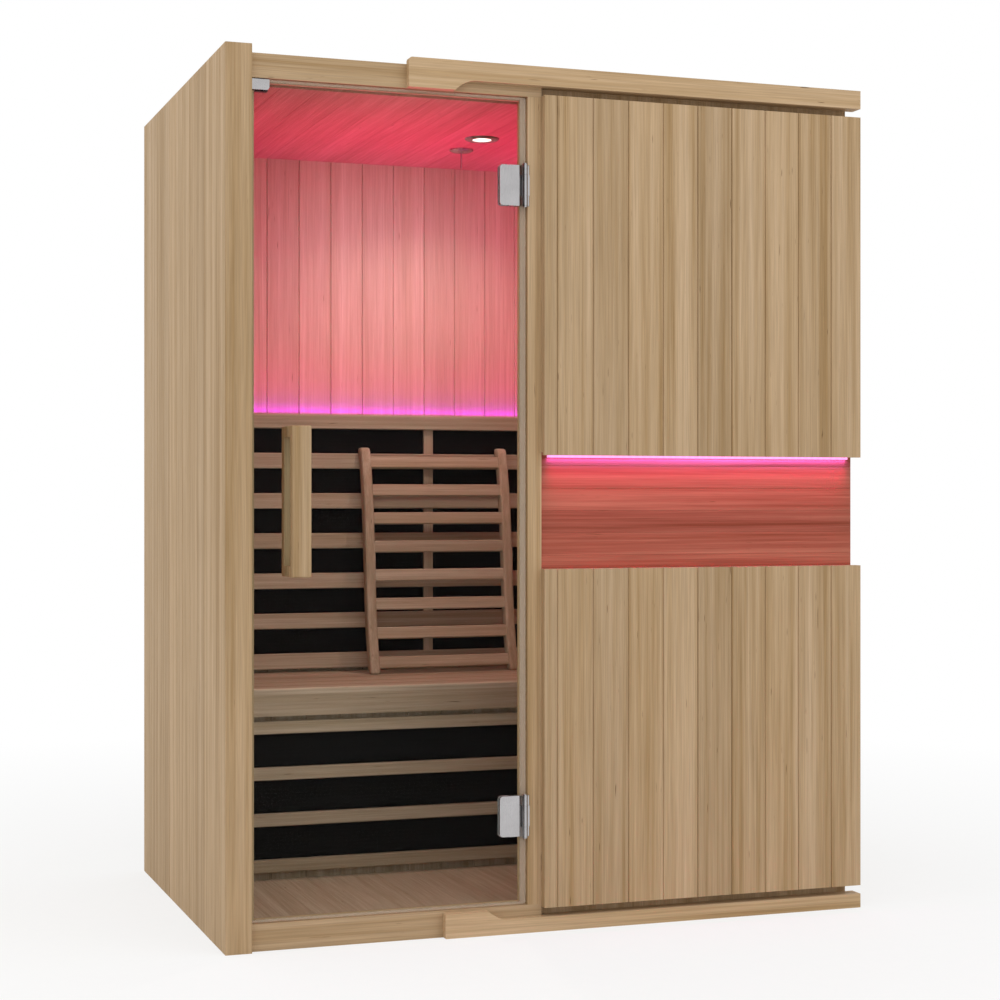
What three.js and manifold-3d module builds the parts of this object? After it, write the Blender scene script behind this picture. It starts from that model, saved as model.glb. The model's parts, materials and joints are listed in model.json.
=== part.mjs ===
// Infrared sauna cabin: a free-standing timber box with a hinged glass door, a heated bench, a heated
// back grille, a loose backrest and coloured light strips. Millimetres, +Z up, the door faces -Y.
// Pieces are placed in the cabin's own frame: X from the left wall's outer face, Y from the side walls'
// front edge, Z from the ground. The last lines move the origin to the middle of the footprint.

import * as THREE from "three";
import { mergeVertices } from "three/addons/utils/BufferGeometryUtils.js";
import Module from "manifold-3d";

const wasm = await Module();
wasm.setup();

// Shell
const WALL_HEIGHT = 1950;
const CABIN_DEPTH = 1038;
const INNER_WIDTH = 1396;
const SIDE_WALL_THICKNESS = 58;
const BACK_WALL_THICKNESS = 60;
const FRONT_WALL_THICKNESS = 44;
const FLOOR_THICKNESS = 50;
const ROOF_THICKNESS = 30;
const ROOF_DROP = 45; // roof top below the top of the walls
const FRONT_DROP = 16; // front wall and door header below the top of the walls
const FRONT_SETBACK = 34; // front wall behind the side walls' front edge

// Tongue-and-groove boards with a V joint
const BOARD_PITCH = 87;
const JOINT_WIDTH = 4;
const JOINT_DEPTH = 3;
const TIGHT_JOINT_WIDTH = 1; // floor, ceiling and niche
const TIGHT_JOINT_DEPTH = 0.6;
const SIDE_FIRST_JOINT = 58;
const BACK_FIRST_JOINT = 82;
const CLADDING_FIRST_JOINT = 31.5;

// Cladding and niche on the front wall
const FACADE_OVERHANG = 20; // past the right wall
const CLADDING_THICKNESS = 25;
const BATTEN_HEIGHT = 45;
const BATTEN_INSET = 60; // from the cladding's top and bottom edges
const BATTEN_END = 20;
const SHADOW_GAP = 20; // between the cladding and the fascia, and the plinth
const NICHE_BOTTOM = 816;
const NICHE_HEIGHT = 257;
const NICHE_BOARD_THICKNESS = 14;
const NICHE_BOARD_PITCH = 51;
const NICHE_FIRST_JOINT = 9;
const NICHE_LAP = 30; // niche boards behind each cladding
const NICHE_OVERHANG = 7; // past the right wall
const NICHE_STRIP_DEPTH = 12;
const NICHE_STRIP_HEIGHT = 12;
const NICHE_STRIP_SHOW = 5; // below the upper cladding
const NICHE_STRIP_END = 15;

// Fascia and plinth, each a rail with a full tongue at its left end and a curved notch
const FASCIA_LEFT = 407.5;
const FASCIA_HEIGHT = 66;
const FASCIA_DROP = 3; // below the top of the walls
const FASCIA_TONGUE = 107.5;
const FASCIA_NOTCH = 23;
const FASCIA_CORNER = 8;
const PLINTH_LEFT = 492;
const PLINTH_HEIGHT = 54;
const PLINTH_TONGUE = 101;
const PLINTH_NOTCH = 21;
const PLINTH_CORNER = 2;
const NOTCH_RUN = 48;

// Door frame
const DOOR_OPENING = 635; // left wall to hinge jamb
const FRAME_SETBACK = 15; // frame behind the side walls' front edge
const HEADER_HEIGHT = 53;
const SILL_HEIGHT = 59;
const JAMB_WIDTH = 33;
const STOP_RISE = 8; // door stop on the header and the sill
const STOP_DEPTH = 10;
const STRIKE_STOP_WIDTH = 10.5;
const HINGE_STOP_WIDTH = 16;
const STOP_GAP = 3; // behind the glass

// Glass
const GLASS_THICKNESS = 8;
const GLASS_SETBACK = 5; // behind the frame
const GLASS_SIDE_GAP = 3;
const GLASS_END_GAP = 2;
const GLASS_CORNER = 4;
const GLASS_EDGE = 1;

// Glass door hinges
const HINGE_HEIGHT = 92;
const HINGE_INSET = 153; // from the ends of the glass
const CLAMP_WIDTH = 47;
const CLAMP_THICKNESS = 5;
const CLAMP_CORNER = 8;
const CLAMP_EDGE = 1;
const CLAMP_FLANGE = 1.5; // behind the frame leaf's knuckle
const KNUCKLE_DIAMETER = 12;
const KNUCKLE_LENGTH = 46; // the frame leaf's knuckle, between the clamp's two
const PIN_DIAMETER = 6;
const PIN_CAP_DIAMETER = 11;
const PIN_CAP_HEIGHT = 3.5;
const PIN_CAP_EDGE = 1;
const PIN_OUT = 12; // axis in front of the glass
const PIN_ASIDE = 9; // axis beside the jamb
const EAR_LENGTH = 11; // clamp plate to axis
const LEAF_THICKNESS = 3;
const LEAF_WEB = 4;
const HINGE_PLAY = 0.5;
const MORTISE_PLAY = 0.5;

// Door handles, a bar on two end blocks each side of the glass
const HANDLE_LENGTH = 327;
const HANDLE_WIDTH = 42;
const HANDLE_BAR = 22;
const HANDLE_STANDOFF = 25;
const HANDLE_BLOCK = 24;
const HANDLE_INSET = 79; // from the glass's free edge
const HANDLE_CENTRE = 968.5; // above the ground
const HANDLE_CORNER = 4;
const HANDLE_EDGE = 1.5;

// Door catch
const STRIKE_WIDTH = 39;
const STRIKE_HEIGHT = 23;
const STRIKE_THICKNESS = 2;
const STRIKE_WRAP = 1.5;
const STRIKE_CORNER = 7;
const CATCH_WIDTH = 28;
const CATCH_HEIGHT = 18;
const CATCH_DEPTH = 16;
const CATCH_GAP = 0.5;
const CATCH_INSET = 2; // from the strike jamb

// Bench
const SEAT_HEIGHT = 516;
const BENCH_DEPTH = 451; // back wall to the apron's face
const SEAT_THICKNESS = 30;
const APRON_HEIGHT = 68;
const APRON_THICKNESS = 20;
const APRON_ROUND = 6;
const BENCH_PANEL_THICKNESS = 18;
const BENCH_PANEL_SETBACK = 28; // behind the apron's face
const BENCH_SLAT_COUNT = 4;
const BENCH_SLAT_HEIGHT = 31;
const BENCH_SLAT_THICKNESS = 18;
const BENCH_SLAT_BELOW = 18; // floor to the lowest slat
const BENCH_SLAT_ABOVE = 13; // highest slat to the apron
const SLAT_ROUND = 3;

// Infrared heaters
const HEATER_THICKNESS = 8;
const HEATER_INSET = 2; // bench heater behind the bench panel's face
const HEATER_END = 42; // from each side wall
const HEATER_PLAY = 2;

// Grille in front of the back heater
const GRILLE_TOP = 1199;
const GRILLE_RAIL_HEIGHT = 38;
const GRILLE_RAIL_DEPTH = 18;
const GRILLE_RISE = 9; // lowest slat above the seat
const BACK_SLAT_COUNT = 6;
const BACK_SLAT_HEIGHT = 41;
const BACK_SLAT_THICKNESS = 12;
const STILE_WIDTH = 25;
const STILE_THICKNESS = 8;
const BACK_STRIP_HEIGHT = 12;
const BACK_STRIP_DROP = 2; // below the rail's top

// Loose backrest: two curved rails and cross slats, standing on the seat and leaning on the grille
const BACKREST_WIDTH = 410;
const BACKREST_LEFT = 496; // from the left wall
const BACKREST_HEIGHT = 595;
const BACKREST_LEAN = 105;
const BACKREST_FOOT_SLOPE = 0.36;
const BACKREST_TOP_SLOPE = 0.36;
const REST_RAIL_WIDTH = 26;
const REST_RAIL_DEPTH = 33;
const REST_RAIL_ROUND = 11;
const REST_RAIL_EDGE = 5;
const REST_SLAT_COUNT = 8;
const REST_SLAT_HEIGHT = 31;
const REST_SLAT_THICKNESS = 16;
const REST_SLAT_INSET = 5; // behind the rails' front
const REST_SLAT_FIRST = 32; // middle of the lowest slat above the foot
const REST_SLAT_LAST = 36; // middle of the highest slat below the top
const REST_GAP = 0.3; // foot to seat, and top to grille

// Ceiling fittings, on the middle line of the room
const LIGHT_FROM_BACK = 462;
const LIGHT_DIAMETER = 88;
const LIGHT_RIM = 4;
const LIGHT_CAN_DIAMETER = 66;
const LIGHT_CAN_DEPTH = 18;
const LENS_DIAMETER = 48;
const LENS_THICKNESS = 5;
const LENS_RECESS = 1.5;
const LENS_SHOULDER = 0.7; // share of the radius where the dome turns down
const FIT_GAP = 0.3; // round pieces in their holes
const SENSOR_FROM_BACK = 299;
const SENSOR_DIAMETER = 62;
const SENSOR_HEIGHT = 7;
const PROBE_DIAMETER = 4.4;
const PROBE_LENGTH = 49;

// Control panel inside the front wall
const CONTROL_WIDTH = 190;
const CONTROL_HEIGHT = 120;
const CONTROL_DEPTH = 16;
const CONTROL_CORNER = 10;
const CONTROL_EDGE = 3;
const CONTROL_FROM_JAMB = 120;
const CONTROL_BOTTOM = 1280;

// Power unit on the roof, a folded steel case with a cable gland
const POWER_WIDTH = 320;
const POWER_DEPTH = 220;
const POWER_HEIGHT = 40;
const POWER_FLANGE = 22;
const POWER_FLANGE_THICKNESS = 3;
const POWER_FROM_RIGHT = 260;
const POWER_FROM_BACK = 180;
const GLAND_DIAMETER = 24;
const GLAND_LENGTH = 26;

// Facets of round stretches
const CURVE_STEPS = 3;
const NOTCH_STEPS = 8;
const EDGE_STEPS = 2;
const ROUND_STEPS = 32;
const PIN_STEPS = 24;
const LEAN_STEPS = 12;
const MERGE_DISTANCE = 1e-4;

// Places that follow from the sizes
const innerLeft = SIDE_WALL_THICKNESS;
const innerRight = innerLeft + INNER_WIDTH;
const innerMiddle = innerLeft + INNER_WIDTH / 2;
const outerRight = innerRight + SIDE_WALL_THICKNESS;
const facadeRight = outerRight + FACADE_OVERHANG;
const innerFront = FRONT_SETBACK + FRONT_WALL_THICKNESS;
const innerBack = CABIN_DEPTH - BACK_WALL_THICKNESS;
const innerDepth = innerBack - innerFront;
const roofTop = WALL_HEIGHT - ROOF_DROP;
const ceiling = roofTop - ROOF_THICKNESS;
const headerTop = WALL_HEIGHT - FRONT_DROP;
const doorHead = headerTop - HEADER_HEIGHT;
const jambLeft = innerLeft + DOOR_OPENING;
const jambRight = jambLeft + JAMB_WIDTH;
const facadeWidth = facadeRight - jambRight;
const frameDepth = innerFront - FRAME_SETBACK;
const claddingBack = FRONT_SETBACK - NICHE_BOARD_THICKNESS;
const facadeFront = claddingBack - CLADDING_THICKNESS;
const fasciaTop = WALL_HEIGHT - FASCIA_DROP;
const fasciaThin = fasciaTop - FASCIA_HEIGHT + FASCIA_NOTCH;
const plinthThin = PLINTH_HEIGHT - PLINTH_NOTCH;
const claddingTop = fasciaThin - SHADOW_GAP;
const claddingBottom = plinthThin + SHADOW_GAP;
const nicheTop = NICHE_BOTTOM + NICHE_HEIGHT;
const glassFront = FRAME_SETBACK + GLASS_SETBACK;
const glassBack = glassFront + GLASS_THICKNESS;
const stopFront = glassBack + STOP_GAP;
const glassLeft = innerLeft + GLASS_SIDE_GAP;
const glassRight = jambLeft - GLASS_SIDE_GAP;
const glassBottom = SILL_HEIGHT + GLASS_END_GAP;
const glassTop = doorHead - GLASS_END_GAP;
const pinX = jambLeft - PIN_ASIDE;
const pinY = glassFront - PIN_OUT;
const lowerHinge = glassBottom + HINGE_INSET;
const upperHinge = glassTop - HINGE_INSET - HINGE_HEIGHT;
const handleBottom = HANDLE_CENTRE - HANDLE_LENGTH / 2;
const handleReach = HANDLE_STANDOFF + HANDLE_BAR;
const benchFront = innerBack - BENCH_DEPTH;
const benchPanelFront = benchFront + BENCH_PANEL_SETBACK;
const seatBottom = SEAT_HEIGHT - SEAT_THICKNESS;
const grilleDepth = HEATER_THICKNESS + STILE_THICKNESS + BACK_SLAT_THICKNESS;
const grilleFront = innerBack - grilleDepth;
const grilleRailBottom = GRILLE_TOP - GRILLE_RAIL_HEIGHT;
const grilleBottom = SEAT_HEIGHT + GRILLE_RISE;

// Materials
const outerTimber = new THREE.MeshStandardMaterial({ color: 0xbb9d78, roughness: 0.62, metalness: 0 });
const innerTimber = new THREE.MeshStandardMaterial({ color: 0xb8946f, roughness: 0.62, metalness: 0 });
const clearGlass = new THREE.MeshStandardMaterial({
  color: 0xdfe6e0,
  roughness: 0.04,
  metalness: 0,
  transparent: true,
  opacity: 0.2,
});
const satinSteel = new THREE.MeshStandardMaterial({ color: 0xb9b8b8, roughness: 0.32, metalness: 1 });
const heaterFilm = new THREE.MeshStandardMaterial({ color: 0x121212, roughness: 0.7, metalness: 0 });
const pinkDiffuser = new THREE.MeshStandardMaterial({ color: 0xff6fd8, roughness: 0.4, metalness: 0 });
const lampGlass = new THREE.MeshStandardMaterial({ color: 0xfff6ea, roughness: 0.25, metalness: 0 });
const blackPlastic = new THREE.MeshStandardMaterial({ color: 0x1b1b1d, roughness: 0.35, metalness: 0 });
const paintedSteel = new THREE.MeshStandardMaterial({ color: 0x3a3b3d, roughness: 0.55, metalness: 0.3 });

// Every corner lies on a fine grid, so faces that meet share exactly the same coordinates.
const GRID_STEPS = 64;
const snap = (value) => Math.round(value * GRID_STEPS) / GRID_STEPS;

function addPiece(parent, name, material, geometry, x, y, z) {
  const corners = geometry.attributes.position;
  corners.array.forEach((value, i) => {
    corners.array[i] = snap(value);
  });
  geometry.computeVertexNormals();
  const piece = new THREE.Mesh(geometry, material);
  piece.name = name;
  piece.position.set(snap(x), snap(y), snap(z));
  parent.add(piece);
  return piece;
}

// Joining and cutting closed geometries
function toSolid(geometry) {
  const bare = geometry.clone();
  bare.deleteAttribute("normal");
  bare.deleteAttribute("uv");
  const merged = mergeVertices(bare, MERGE_DISTANCE);
  const vertProperties = new Float32Array(merged.attributes.position.array);
  const triVerts = new Uint32Array(merged.index.array);
  return new wasm.Manifold(new wasm.Mesh({ numProp: 3, vertProperties, triVerts }));
}

function toGeometry(solid) {
  const mesh = solid.getMesh();
  const geometry = new THREE.BufferGeometry();
  geometry.setAttribute("position", new THREE.BufferAttribute(mesh.vertProperties, 3));
  geometry.setIndex(new THREE.BufferAttribute(mesh.triVerts, 1));
  return geometry.toNonIndexed();
}

function join(...geometries) {
  return toGeometry(geometries.map(toSolid).reduce((whole, piece) => whole.add(piece)));
}

function cut(geometry, ...tools) {
  return toGeometry(tools.map(toSolid).reduce((rest, tool) => rest.subtract(tool), toSolid(geometry)));
}

function overlap(a, b) {
  return toGeometry(toSolid(a).intersect(toSolid(b)));
}

// Closed prisms from a flat outline, with an optional eased edge at both ends
function extrude(outline, length, edge) {
  const prism = new THREE.ExtrudeGeometry(outline, {
    depth: length - 2 * edge,
    bevelEnabled: edge > 0,
    bevelThickness: edge,
    bevelSize: edge,
    bevelOffset: -edge,
    bevelSegments: EDGE_STEPS,
    curveSegments: CURVE_STEPS,
  });
  return prism.translate(0, 0, edge);
}

// A plan outline (x, y) raised along Z
function extrudeUp(outline, height, edge = 0) {
  return extrude(outline, height, edge);
}

// A front outline (x, z) run back along Y
function extrudeBack(outline, depth, edge = 0) {
  return extrude(outline, depth, edge).rotateX(Math.PI / 2).translate(0, depth, 0);
}

// A side outline (y, z) run across along X
const SIDE_BASIS = new THREE.Matrix4().makeBasis(
  new THREE.Vector3(0, 1, 0),
  new THREE.Vector3(0, 0, 1),
  new THREE.Vector3(1, 0, 0),
);
function extrudeAcross(outline, width, edge = 0) {
  return extrude(outline, width, edge).applyMatrix4(SIDE_BASIS);
}

function block(width, depth, height) {
  return new THREE.BoxGeometry(width, depth, height).translate(width / 2, depth / 2, height / 2);
}

function cylinderUp(diameter, height, steps) {
  const radius = diameter / 2;
  return new THREE.CylinderGeometry(radius, radius, height, steps)
    .rotateX(Math.PI / 2)
    .translate(0, 0, height / 2);
}

function turned(profile, steps) {
  return new THREE.LatheGeometry(profile, steps).rotateX(Math.PI / 2);
}

function remapped(outline, map) {
  return new THREE.Shape(outline.getPoints(CURVE_STEPS).map((point) => map(point)));
}

const swapped = (outline) => remapped(outline, (p) => new THREE.Vector2(p.y, p.x));
const mirrored = (outline) => remapped(outline, (p) => new THREE.Vector2(-p.x, p.y));
const upended = (outline, height) => remapped(outline, (p) => new THREE.Vector2(p.x, height - p.y));

function roundedPlate(width, height, corner) {
  const plate = new THREE.Shape();
  plate.moveTo(corner, 0);
  plate.lineTo(width - corner, 0);
  plate.absarc(width - corner, corner, corner, -Math.PI / 2, 0);
  plate.lineTo(width, height - corner);
  plate.absarc(width - corner, height - corner, corner, 0, Math.PI / 2);
  plate.lineTo(corner, height);
  plate.absarc(corner, height - corner, corner, Math.PI / 2, Math.PI);
  plate.lineTo(0, corner);
  plate.absarc(corner, corner, corner, Math.PI, 1.5 * Math.PI);
  return plate;
}

// Rows of board joints: open V joints, and tight ones that hardly show
const openJoints = (first, pitch) => ({ first, pitch, width: JOINT_WIDTH, depth: JOINT_DEPTH });
const tightJoints = (first, pitch) => ({ first, pitch, width: TIGHT_JOINT_WIDTH, depth: TIGHT_JOINT_DEPTH });

// End view of a boarded panel: V joints on its near face, its far face, or both
function boards(length, thickness, joints, near, far) {
  const half = joints.width / 2;
  const places = [];
  for (let at = joints.first; at < length - joints.width; at += joints.pitch) places.push(at);
  const outline = new THREE.Shape();
  outline.moveTo(0, 0);
  if (near) {
    for (const at of places) {
      outline.lineTo(at - half, 0);
      outline.lineTo(at, joints.depth);
      outline.lineTo(at + half, 0);
    }
  }
  outline.lineTo(length, 0);
  outline.lineTo(length, thickness);
  if (far) {
    for (const at of places.reverse()) {
      outline.lineTo(at + half, thickness);
      outline.lineTo(at, thickness - joints.depth);
      outline.lineTo(at - half, thickness);
    }
  }
  outline.lineTo(0, thickness);
  return outline;
}

const sauna = new THREE.Group();
const cabin = new THREE.Group();
const door = new THREE.Group();
const backrest = new THREE.Group();
sauna.add(cabin);
cabin.add(door, backrest);

// Walls, floor and roof
function addShell() {
  const sideJoints = openJoints(SIDE_FIRST_JOINT, BOARD_PITCH);
  const backJoints = openJoints(BACK_FIRST_JOINT, BOARD_PITCH);
  const levelJoints = tightJoints(BACK_FIRST_JOINT, BOARD_PITCH);
  const leftBoards = boards(CABIN_DEPTH, SIDE_WALL_THICKNESS, sideJoints, true, true);
  const left = extrudeUp(swapped(leftBoards), WALL_HEIGHT);
  addPiece(cabin, "left_wall", outerTimber, left, 0, 0, 0);

  const rightBoards = boards(CABIN_DEPTH - FRONT_SETBACK, SIDE_WALL_THICKNESS, sideJoints, true, true);
  const right = extrudeUp(swapped(rightBoards), WALL_HEIGHT);
  addPiece(cabin, "right_wall", outerTimber, right, innerRight, FRONT_SETBACK, 0);

  const back = extrudeUp(boards(INNER_WIDTH, BACK_WALL_THICKNESS, backJoints, true, true), WALL_HEIGHT);
  addPiece(cabin, "back_wall", innerTimber, back, innerLeft, innerBack, 0);

  const frontWidth = innerRight - jambRight;
  const front = extrudeUp(boards(frontWidth, FRONT_WALL_THICKNESS, backJoints, false, true), headerTop);
  addPiece(cabin, "front_wall", innerTimber, front, jambRight, FRONT_SETBACK, 0);

  const floor = extrudeBack(boards(INNER_WIDTH, FLOOR_THICKNESS, levelJoints, false, true), innerDepth);
  addPiece(cabin, "floor_panel", innerTimber, floor, innerLeft, innerFront, 0);

  const roof = extrudeBack(boards(INNER_WIDTH, ROOF_THICKNESS, levelJoints, true, false), innerDepth);
  const recess = cylinderUp(LIGHT_CAN_DIAMETER + 2 * FIT_GAP, 2 * (LIGHT_CAN_DEPTH + FIT_GAP), ROUND_STEPS);
  recess.translate(INNER_WIDTH / 2, innerDepth - LIGHT_FROM_BACK, -LIGHT_CAN_DEPTH - FIT_GAP);
  addPiece(cabin, "roof_panel", innerTimber, cut(roof, recess), innerLeft, innerFront, ceiling);
}

// One panel of vertical cladding boards on two hidden battens
function cladding(height) {
  const joints = openJoints(CLADDING_FIRST_JOINT, BOARD_PITCH);
  const face = extrudeUp(boards(facadeWidth, CLADDING_THICKNESS, joints, true, false), height);
  const battenLength = outerRight - jambRight - 2 * BATTEN_END;
  const batten = block(battenLength, NICHE_BOARD_THICKNESS, BATTEN_HEIGHT);
  batten.translate(BATTEN_END, CLADDING_THICKNESS, BATTEN_INSET);
  const upperBatten = batten.clone().translate(0, 0, height - 2 * BATTEN_INSET - BATTEN_HEIGHT);
  return join(face, batten, upperBatten);
}

function addCladding() {
  const stripBottom = nicheTop - NICHE_STRIP_SHOW;
  const stripFront = claddingBack - NICHE_STRIP_DEPTH;
  const rebateHeight = NICHE_STRIP_HEIGHT - NICHE_STRIP_SHOW;
  const rebate = block(facadeWidth, NICHE_STRIP_DEPTH, rebateHeight);
  rebate.translate(0, stripFront - facadeFront, 0);
  const upper = cut(cladding(claddingTop - nicheTop), rebate);
  addPiece(cabin, "upper_cladding", outerTimber, upper, jambRight, facadeFront, nicheTop);
  const lower = cladding(NICHE_BOTTOM - claddingBottom);
  addPiece(cabin, "lower_cladding", outerTimber, lower, jambRight, facadeFront, claddingBottom);

  const nicheJoints = tightJoints(NICHE_FIRST_JOINT, NICHE_BOARD_PITCH);
  const nicheBoards = boards(NICHE_HEIGHT + 2 * NICHE_LAP, NICHE_BOARD_THICKNESS, nicheJoints, true, false);
  const nicheWidth = outerRight + NICHE_OVERHANG - jambRight;
  const niche = extrudeAcross(swapped(nicheBoards), nicheWidth);
  addPiece(cabin, "niche_boards", outerTimber, niche, jambRight, claddingBack, NICHE_BOTTOM - NICHE_LAP);

  const strip = block(nicheWidth - 2 * NICHE_STRIP_END, NICHE_STRIP_DEPTH, NICHE_STRIP_HEIGHT);
  const stripLeft = jambRight + NICHE_STRIP_END;
  addPiece(cabin, "niche_light_strip", pinkDiffuser, strip, stripLeft, stripFront, stripBottom);
}

// A rail lying on its base, full height along its tongue and then notched down to its thin part
function notchedRail(length, height, tongue, notch, corner) {
  const rail = new THREE.Shape();
  rail.moveTo(corner, 0);
  rail.lineTo(length, 0);
  rail.lineTo(length, height - notch);
  const shoulder = new THREE.QuadraticBezierCurve(
    new THREE.Vector2(tongue + NOTCH_RUN, height - notch),
    new THREE.Vector2(tongue + NOTCH_RUN / 2, height - notch),
    new THREE.Vector2(tongue, height),
  );
  for (const point of shoulder.getPoints(NOTCH_STEPS)) rail.lineTo(point.x, point.y);
  rail.lineTo(0, height);
  rail.lineTo(0, corner);
  rail.absarc(corner, corner, corner, Math.PI, 1.5 * Math.PI);
  return rail;
}

function addFasciaAndPlinth() {
  const faceDepth = FRAME_SETBACK - facadeFront;
  const packing = (left, height) =>
    block(facadeWidth, FRONT_SETBACK - FRAME_SETBACK, height).translate(jambRight - left, faceDepth, 0);

  const fasciaLength = facadeRight - FASCIA_LEFT;
  const fasciaRail = notchedRail(fasciaLength, FASCIA_HEIGHT, FASCIA_TONGUE, FASCIA_NOTCH, FASCIA_CORNER);
  const fasciaFace = extrudeBack(upended(fasciaRail, FASCIA_HEIGHT), faceDepth);
  const fasciaPacking = packing(FASCIA_LEFT, FASCIA_HEIGHT - FASCIA_NOTCH).translate(0, 0, FASCIA_NOTCH);
  const fascia = join(fasciaFace, fasciaPacking);
  addPiece(cabin, "roof_fascia", outerTimber, fascia, FASCIA_LEFT, facadeFront, fasciaTop - FASCIA_HEIGHT);

  const plinthLength = facadeRight - PLINTH_LEFT;
  const plinthRail = notchedRail(plinthLength, PLINTH_HEIGHT, PLINTH_TONGUE, PLINTH_NOTCH, PLINTH_CORNER);
  const plinth = join(extrudeBack(plinthRail, faceDepth), packing(PLINTH_LEFT, plinthThin));
  addPiece(cabin, "base_plinth", outerTimber, plinth, PLINTH_LEFT, facadeFront, 0);
}

// A door sill with its stop, which also makes the header when it is turned over
function doorRail(height) {
  const rail = new THREE.Shape();
  const stop = stopFront - FRAME_SETBACK;
  rail.moveTo(0, 0);
  rail.lineTo(frameDepth, 0);
  rail.lineTo(frameDepth, height);
  rail.lineTo(stop + STOP_DEPTH, height);
  rail.lineTo(stop + STOP_DEPTH, height + STOP_RISE);
  rail.lineTo(stop, height + STOP_RISE);
  rail.lineTo(stop, height);
  rail.lineTo(0, height);
  return rail;
}

function addDoorFrame() {
  const sillEnd = block(JAMB_WIDTH, frameDepth, SILL_HEIGHT).translate(DOOR_OPENING, 0, 0);
  const sill = join(extrudeAcross(doorRail(SILL_HEIGHT), DOOR_OPENING), sillEnd);
  addPiece(cabin, "door_sill", outerTimber, sill, innerLeft, FRAME_SETBACK, 0);

  const headerEnd = block(JAMB_WIDTH, frameDepth, HEADER_HEIGHT).translate(DOOR_OPENING, 0, STOP_RISE);
  const headerOutline = upended(doorRail(HEADER_HEIGHT), HEADER_HEIGHT + STOP_RISE);
  const header = join(extrudeAcross(headerOutline, DOOR_OPENING), headerEnd);
  addPiece(cabin, "door_header", outerTimber, header, innerLeft, FRAME_SETBACK, doorHead - STOP_RISE);

  const stopBottom = SILL_HEIGHT + STOP_RISE;
  const stopHeight = doorHead - STOP_RISE - stopBottom;
  const strike = block(STRIKE_STOP_WIDTH, STOP_DEPTH, stopHeight);
  addPiece(cabin, "strike_jamb", outerTimber, strike, innerLeft, stopFront, stopBottom);

  const post = block(JAMB_WIDTH, frameDepth, doorHead - SILL_HEIGHT);
  const hingeStop = block(HINGE_STOP_WIDTH, STOP_DEPTH, stopHeight);
  hingeStop.translate(-HINGE_STOP_WIDTH, stopFront - FRAME_SETBACK, STOP_RISE);
  const mortises = [lowerHinge, upperHinge].map((bottom) => mortise().translate(0, 0, bottom - SILL_HEIGHT));
  const jamb = cut(join(post, hingeStop), ...mortises);
  addPiece(cabin, "hinge_jamb", outerTimber, jamb, jambLeft, FRAME_SETBACK, SILL_HEIGHT);
}

// Hinges, drawn about the pin axis with the lower end at zero
const leafDepth = stopFront - FRAME_SETBACK - MORTISE_PLAY;
const leafFace = FRAME_SETBACK - pinY;
const endKnuckle = (HINGE_HEIGHT - KNUCKLE_LENGTH) / 2;

// Pocket in the jamb's edge for a frame leaf
function mortise() {
  const height = HINGE_HEIGHT + 2 * MORTISE_PLAY;
  return block(LEAF_THICKNESS + MORTISE_PLAY, leafDepth, height).translate(0, 0, -MORTISE_PLAY);
}

function clampPlate() {
  const plate = roundedPlate(CLAMP_WIDTH, HINGE_HEIGHT, CLAMP_CORNER);
  const rounded = extrudeBack(plate, CLAMP_THICKNESS, CLAMP_EDGE);
  const square = block(CLAMP_WIDTH / 2, CLAMP_THICKNESS, HINGE_HEIGHT).translate(CLAMP_WIDTH / 2, 0, 0);
  return join(rounded, square).translate(-EAR_LENGTH - CLAMP_WIDTH, 0, 0);
}

// Front half of a clamp: the plate with a thin flange, and at each end an ear that carries a knuckle
function outerClamp() {
  const ear = new THREE.Shape();
  ear.moveTo(0, 0);
  ear.lineTo(0, PIN_OUT);
  ear.lineTo(-EAR_LENGTH - CLAMP_THICKNESS, PIN_OUT);
  ear.lineTo(-EAR_LENGTH - CLAMP_THICKNESS, PIN_OUT - CLAMP_THICKNESS);
  ear.lineTo(-EAR_LENGTH, PIN_OUT - CLAMP_THICKNESS);
  ear.lineTo(-KNUCKLE_DIAMETER / 2, 0);
  const length = endKnuckle - HINGE_PLAY;
  const ends = [0, HINGE_HEIGHT - length].map((bottom) =>
    join(extrudeUp(ear, length), cylinderUp(KNUCKLE_DIAMETER, length, PIN_STEPS)).translate(0, 0, bottom),
  );
  const plate = clampPlate().translate(0, PIN_OUT - CLAMP_THICKNESS, 0);
  const flange = block(EAR_LENGTH, CLAMP_FLANGE, HINGE_HEIGHT);
  flange.translate(-EAR_LENGTH, PIN_OUT - CLAMP_FLANGE, 0);
  const bore = cylinderUp(PIN_DIAMETER + 2 * HINGE_PLAY, HINGE_HEIGHT, PIN_STEPS);
  return cut(join(plate, flange, ...ends), bore);
}

// Head at the end of a hinge pin
function pinCap() {
  const radius = PIN_CAP_DIAMETER / 2;
  const profile = [
    new THREE.Vector2(0, 0),
    new THREE.Vector2(radius, 0),
    new THREE.Vector2(radius, PIN_CAP_HEIGHT - PIN_CAP_EDGE),
    new THREE.Vector2(radius - PIN_CAP_EDGE, PIN_CAP_HEIGHT),
    new THREE.Vector2(0, PIN_CAP_HEIGHT),
  ];
  return turned(profile, PIN_STEPS);
}

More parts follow.
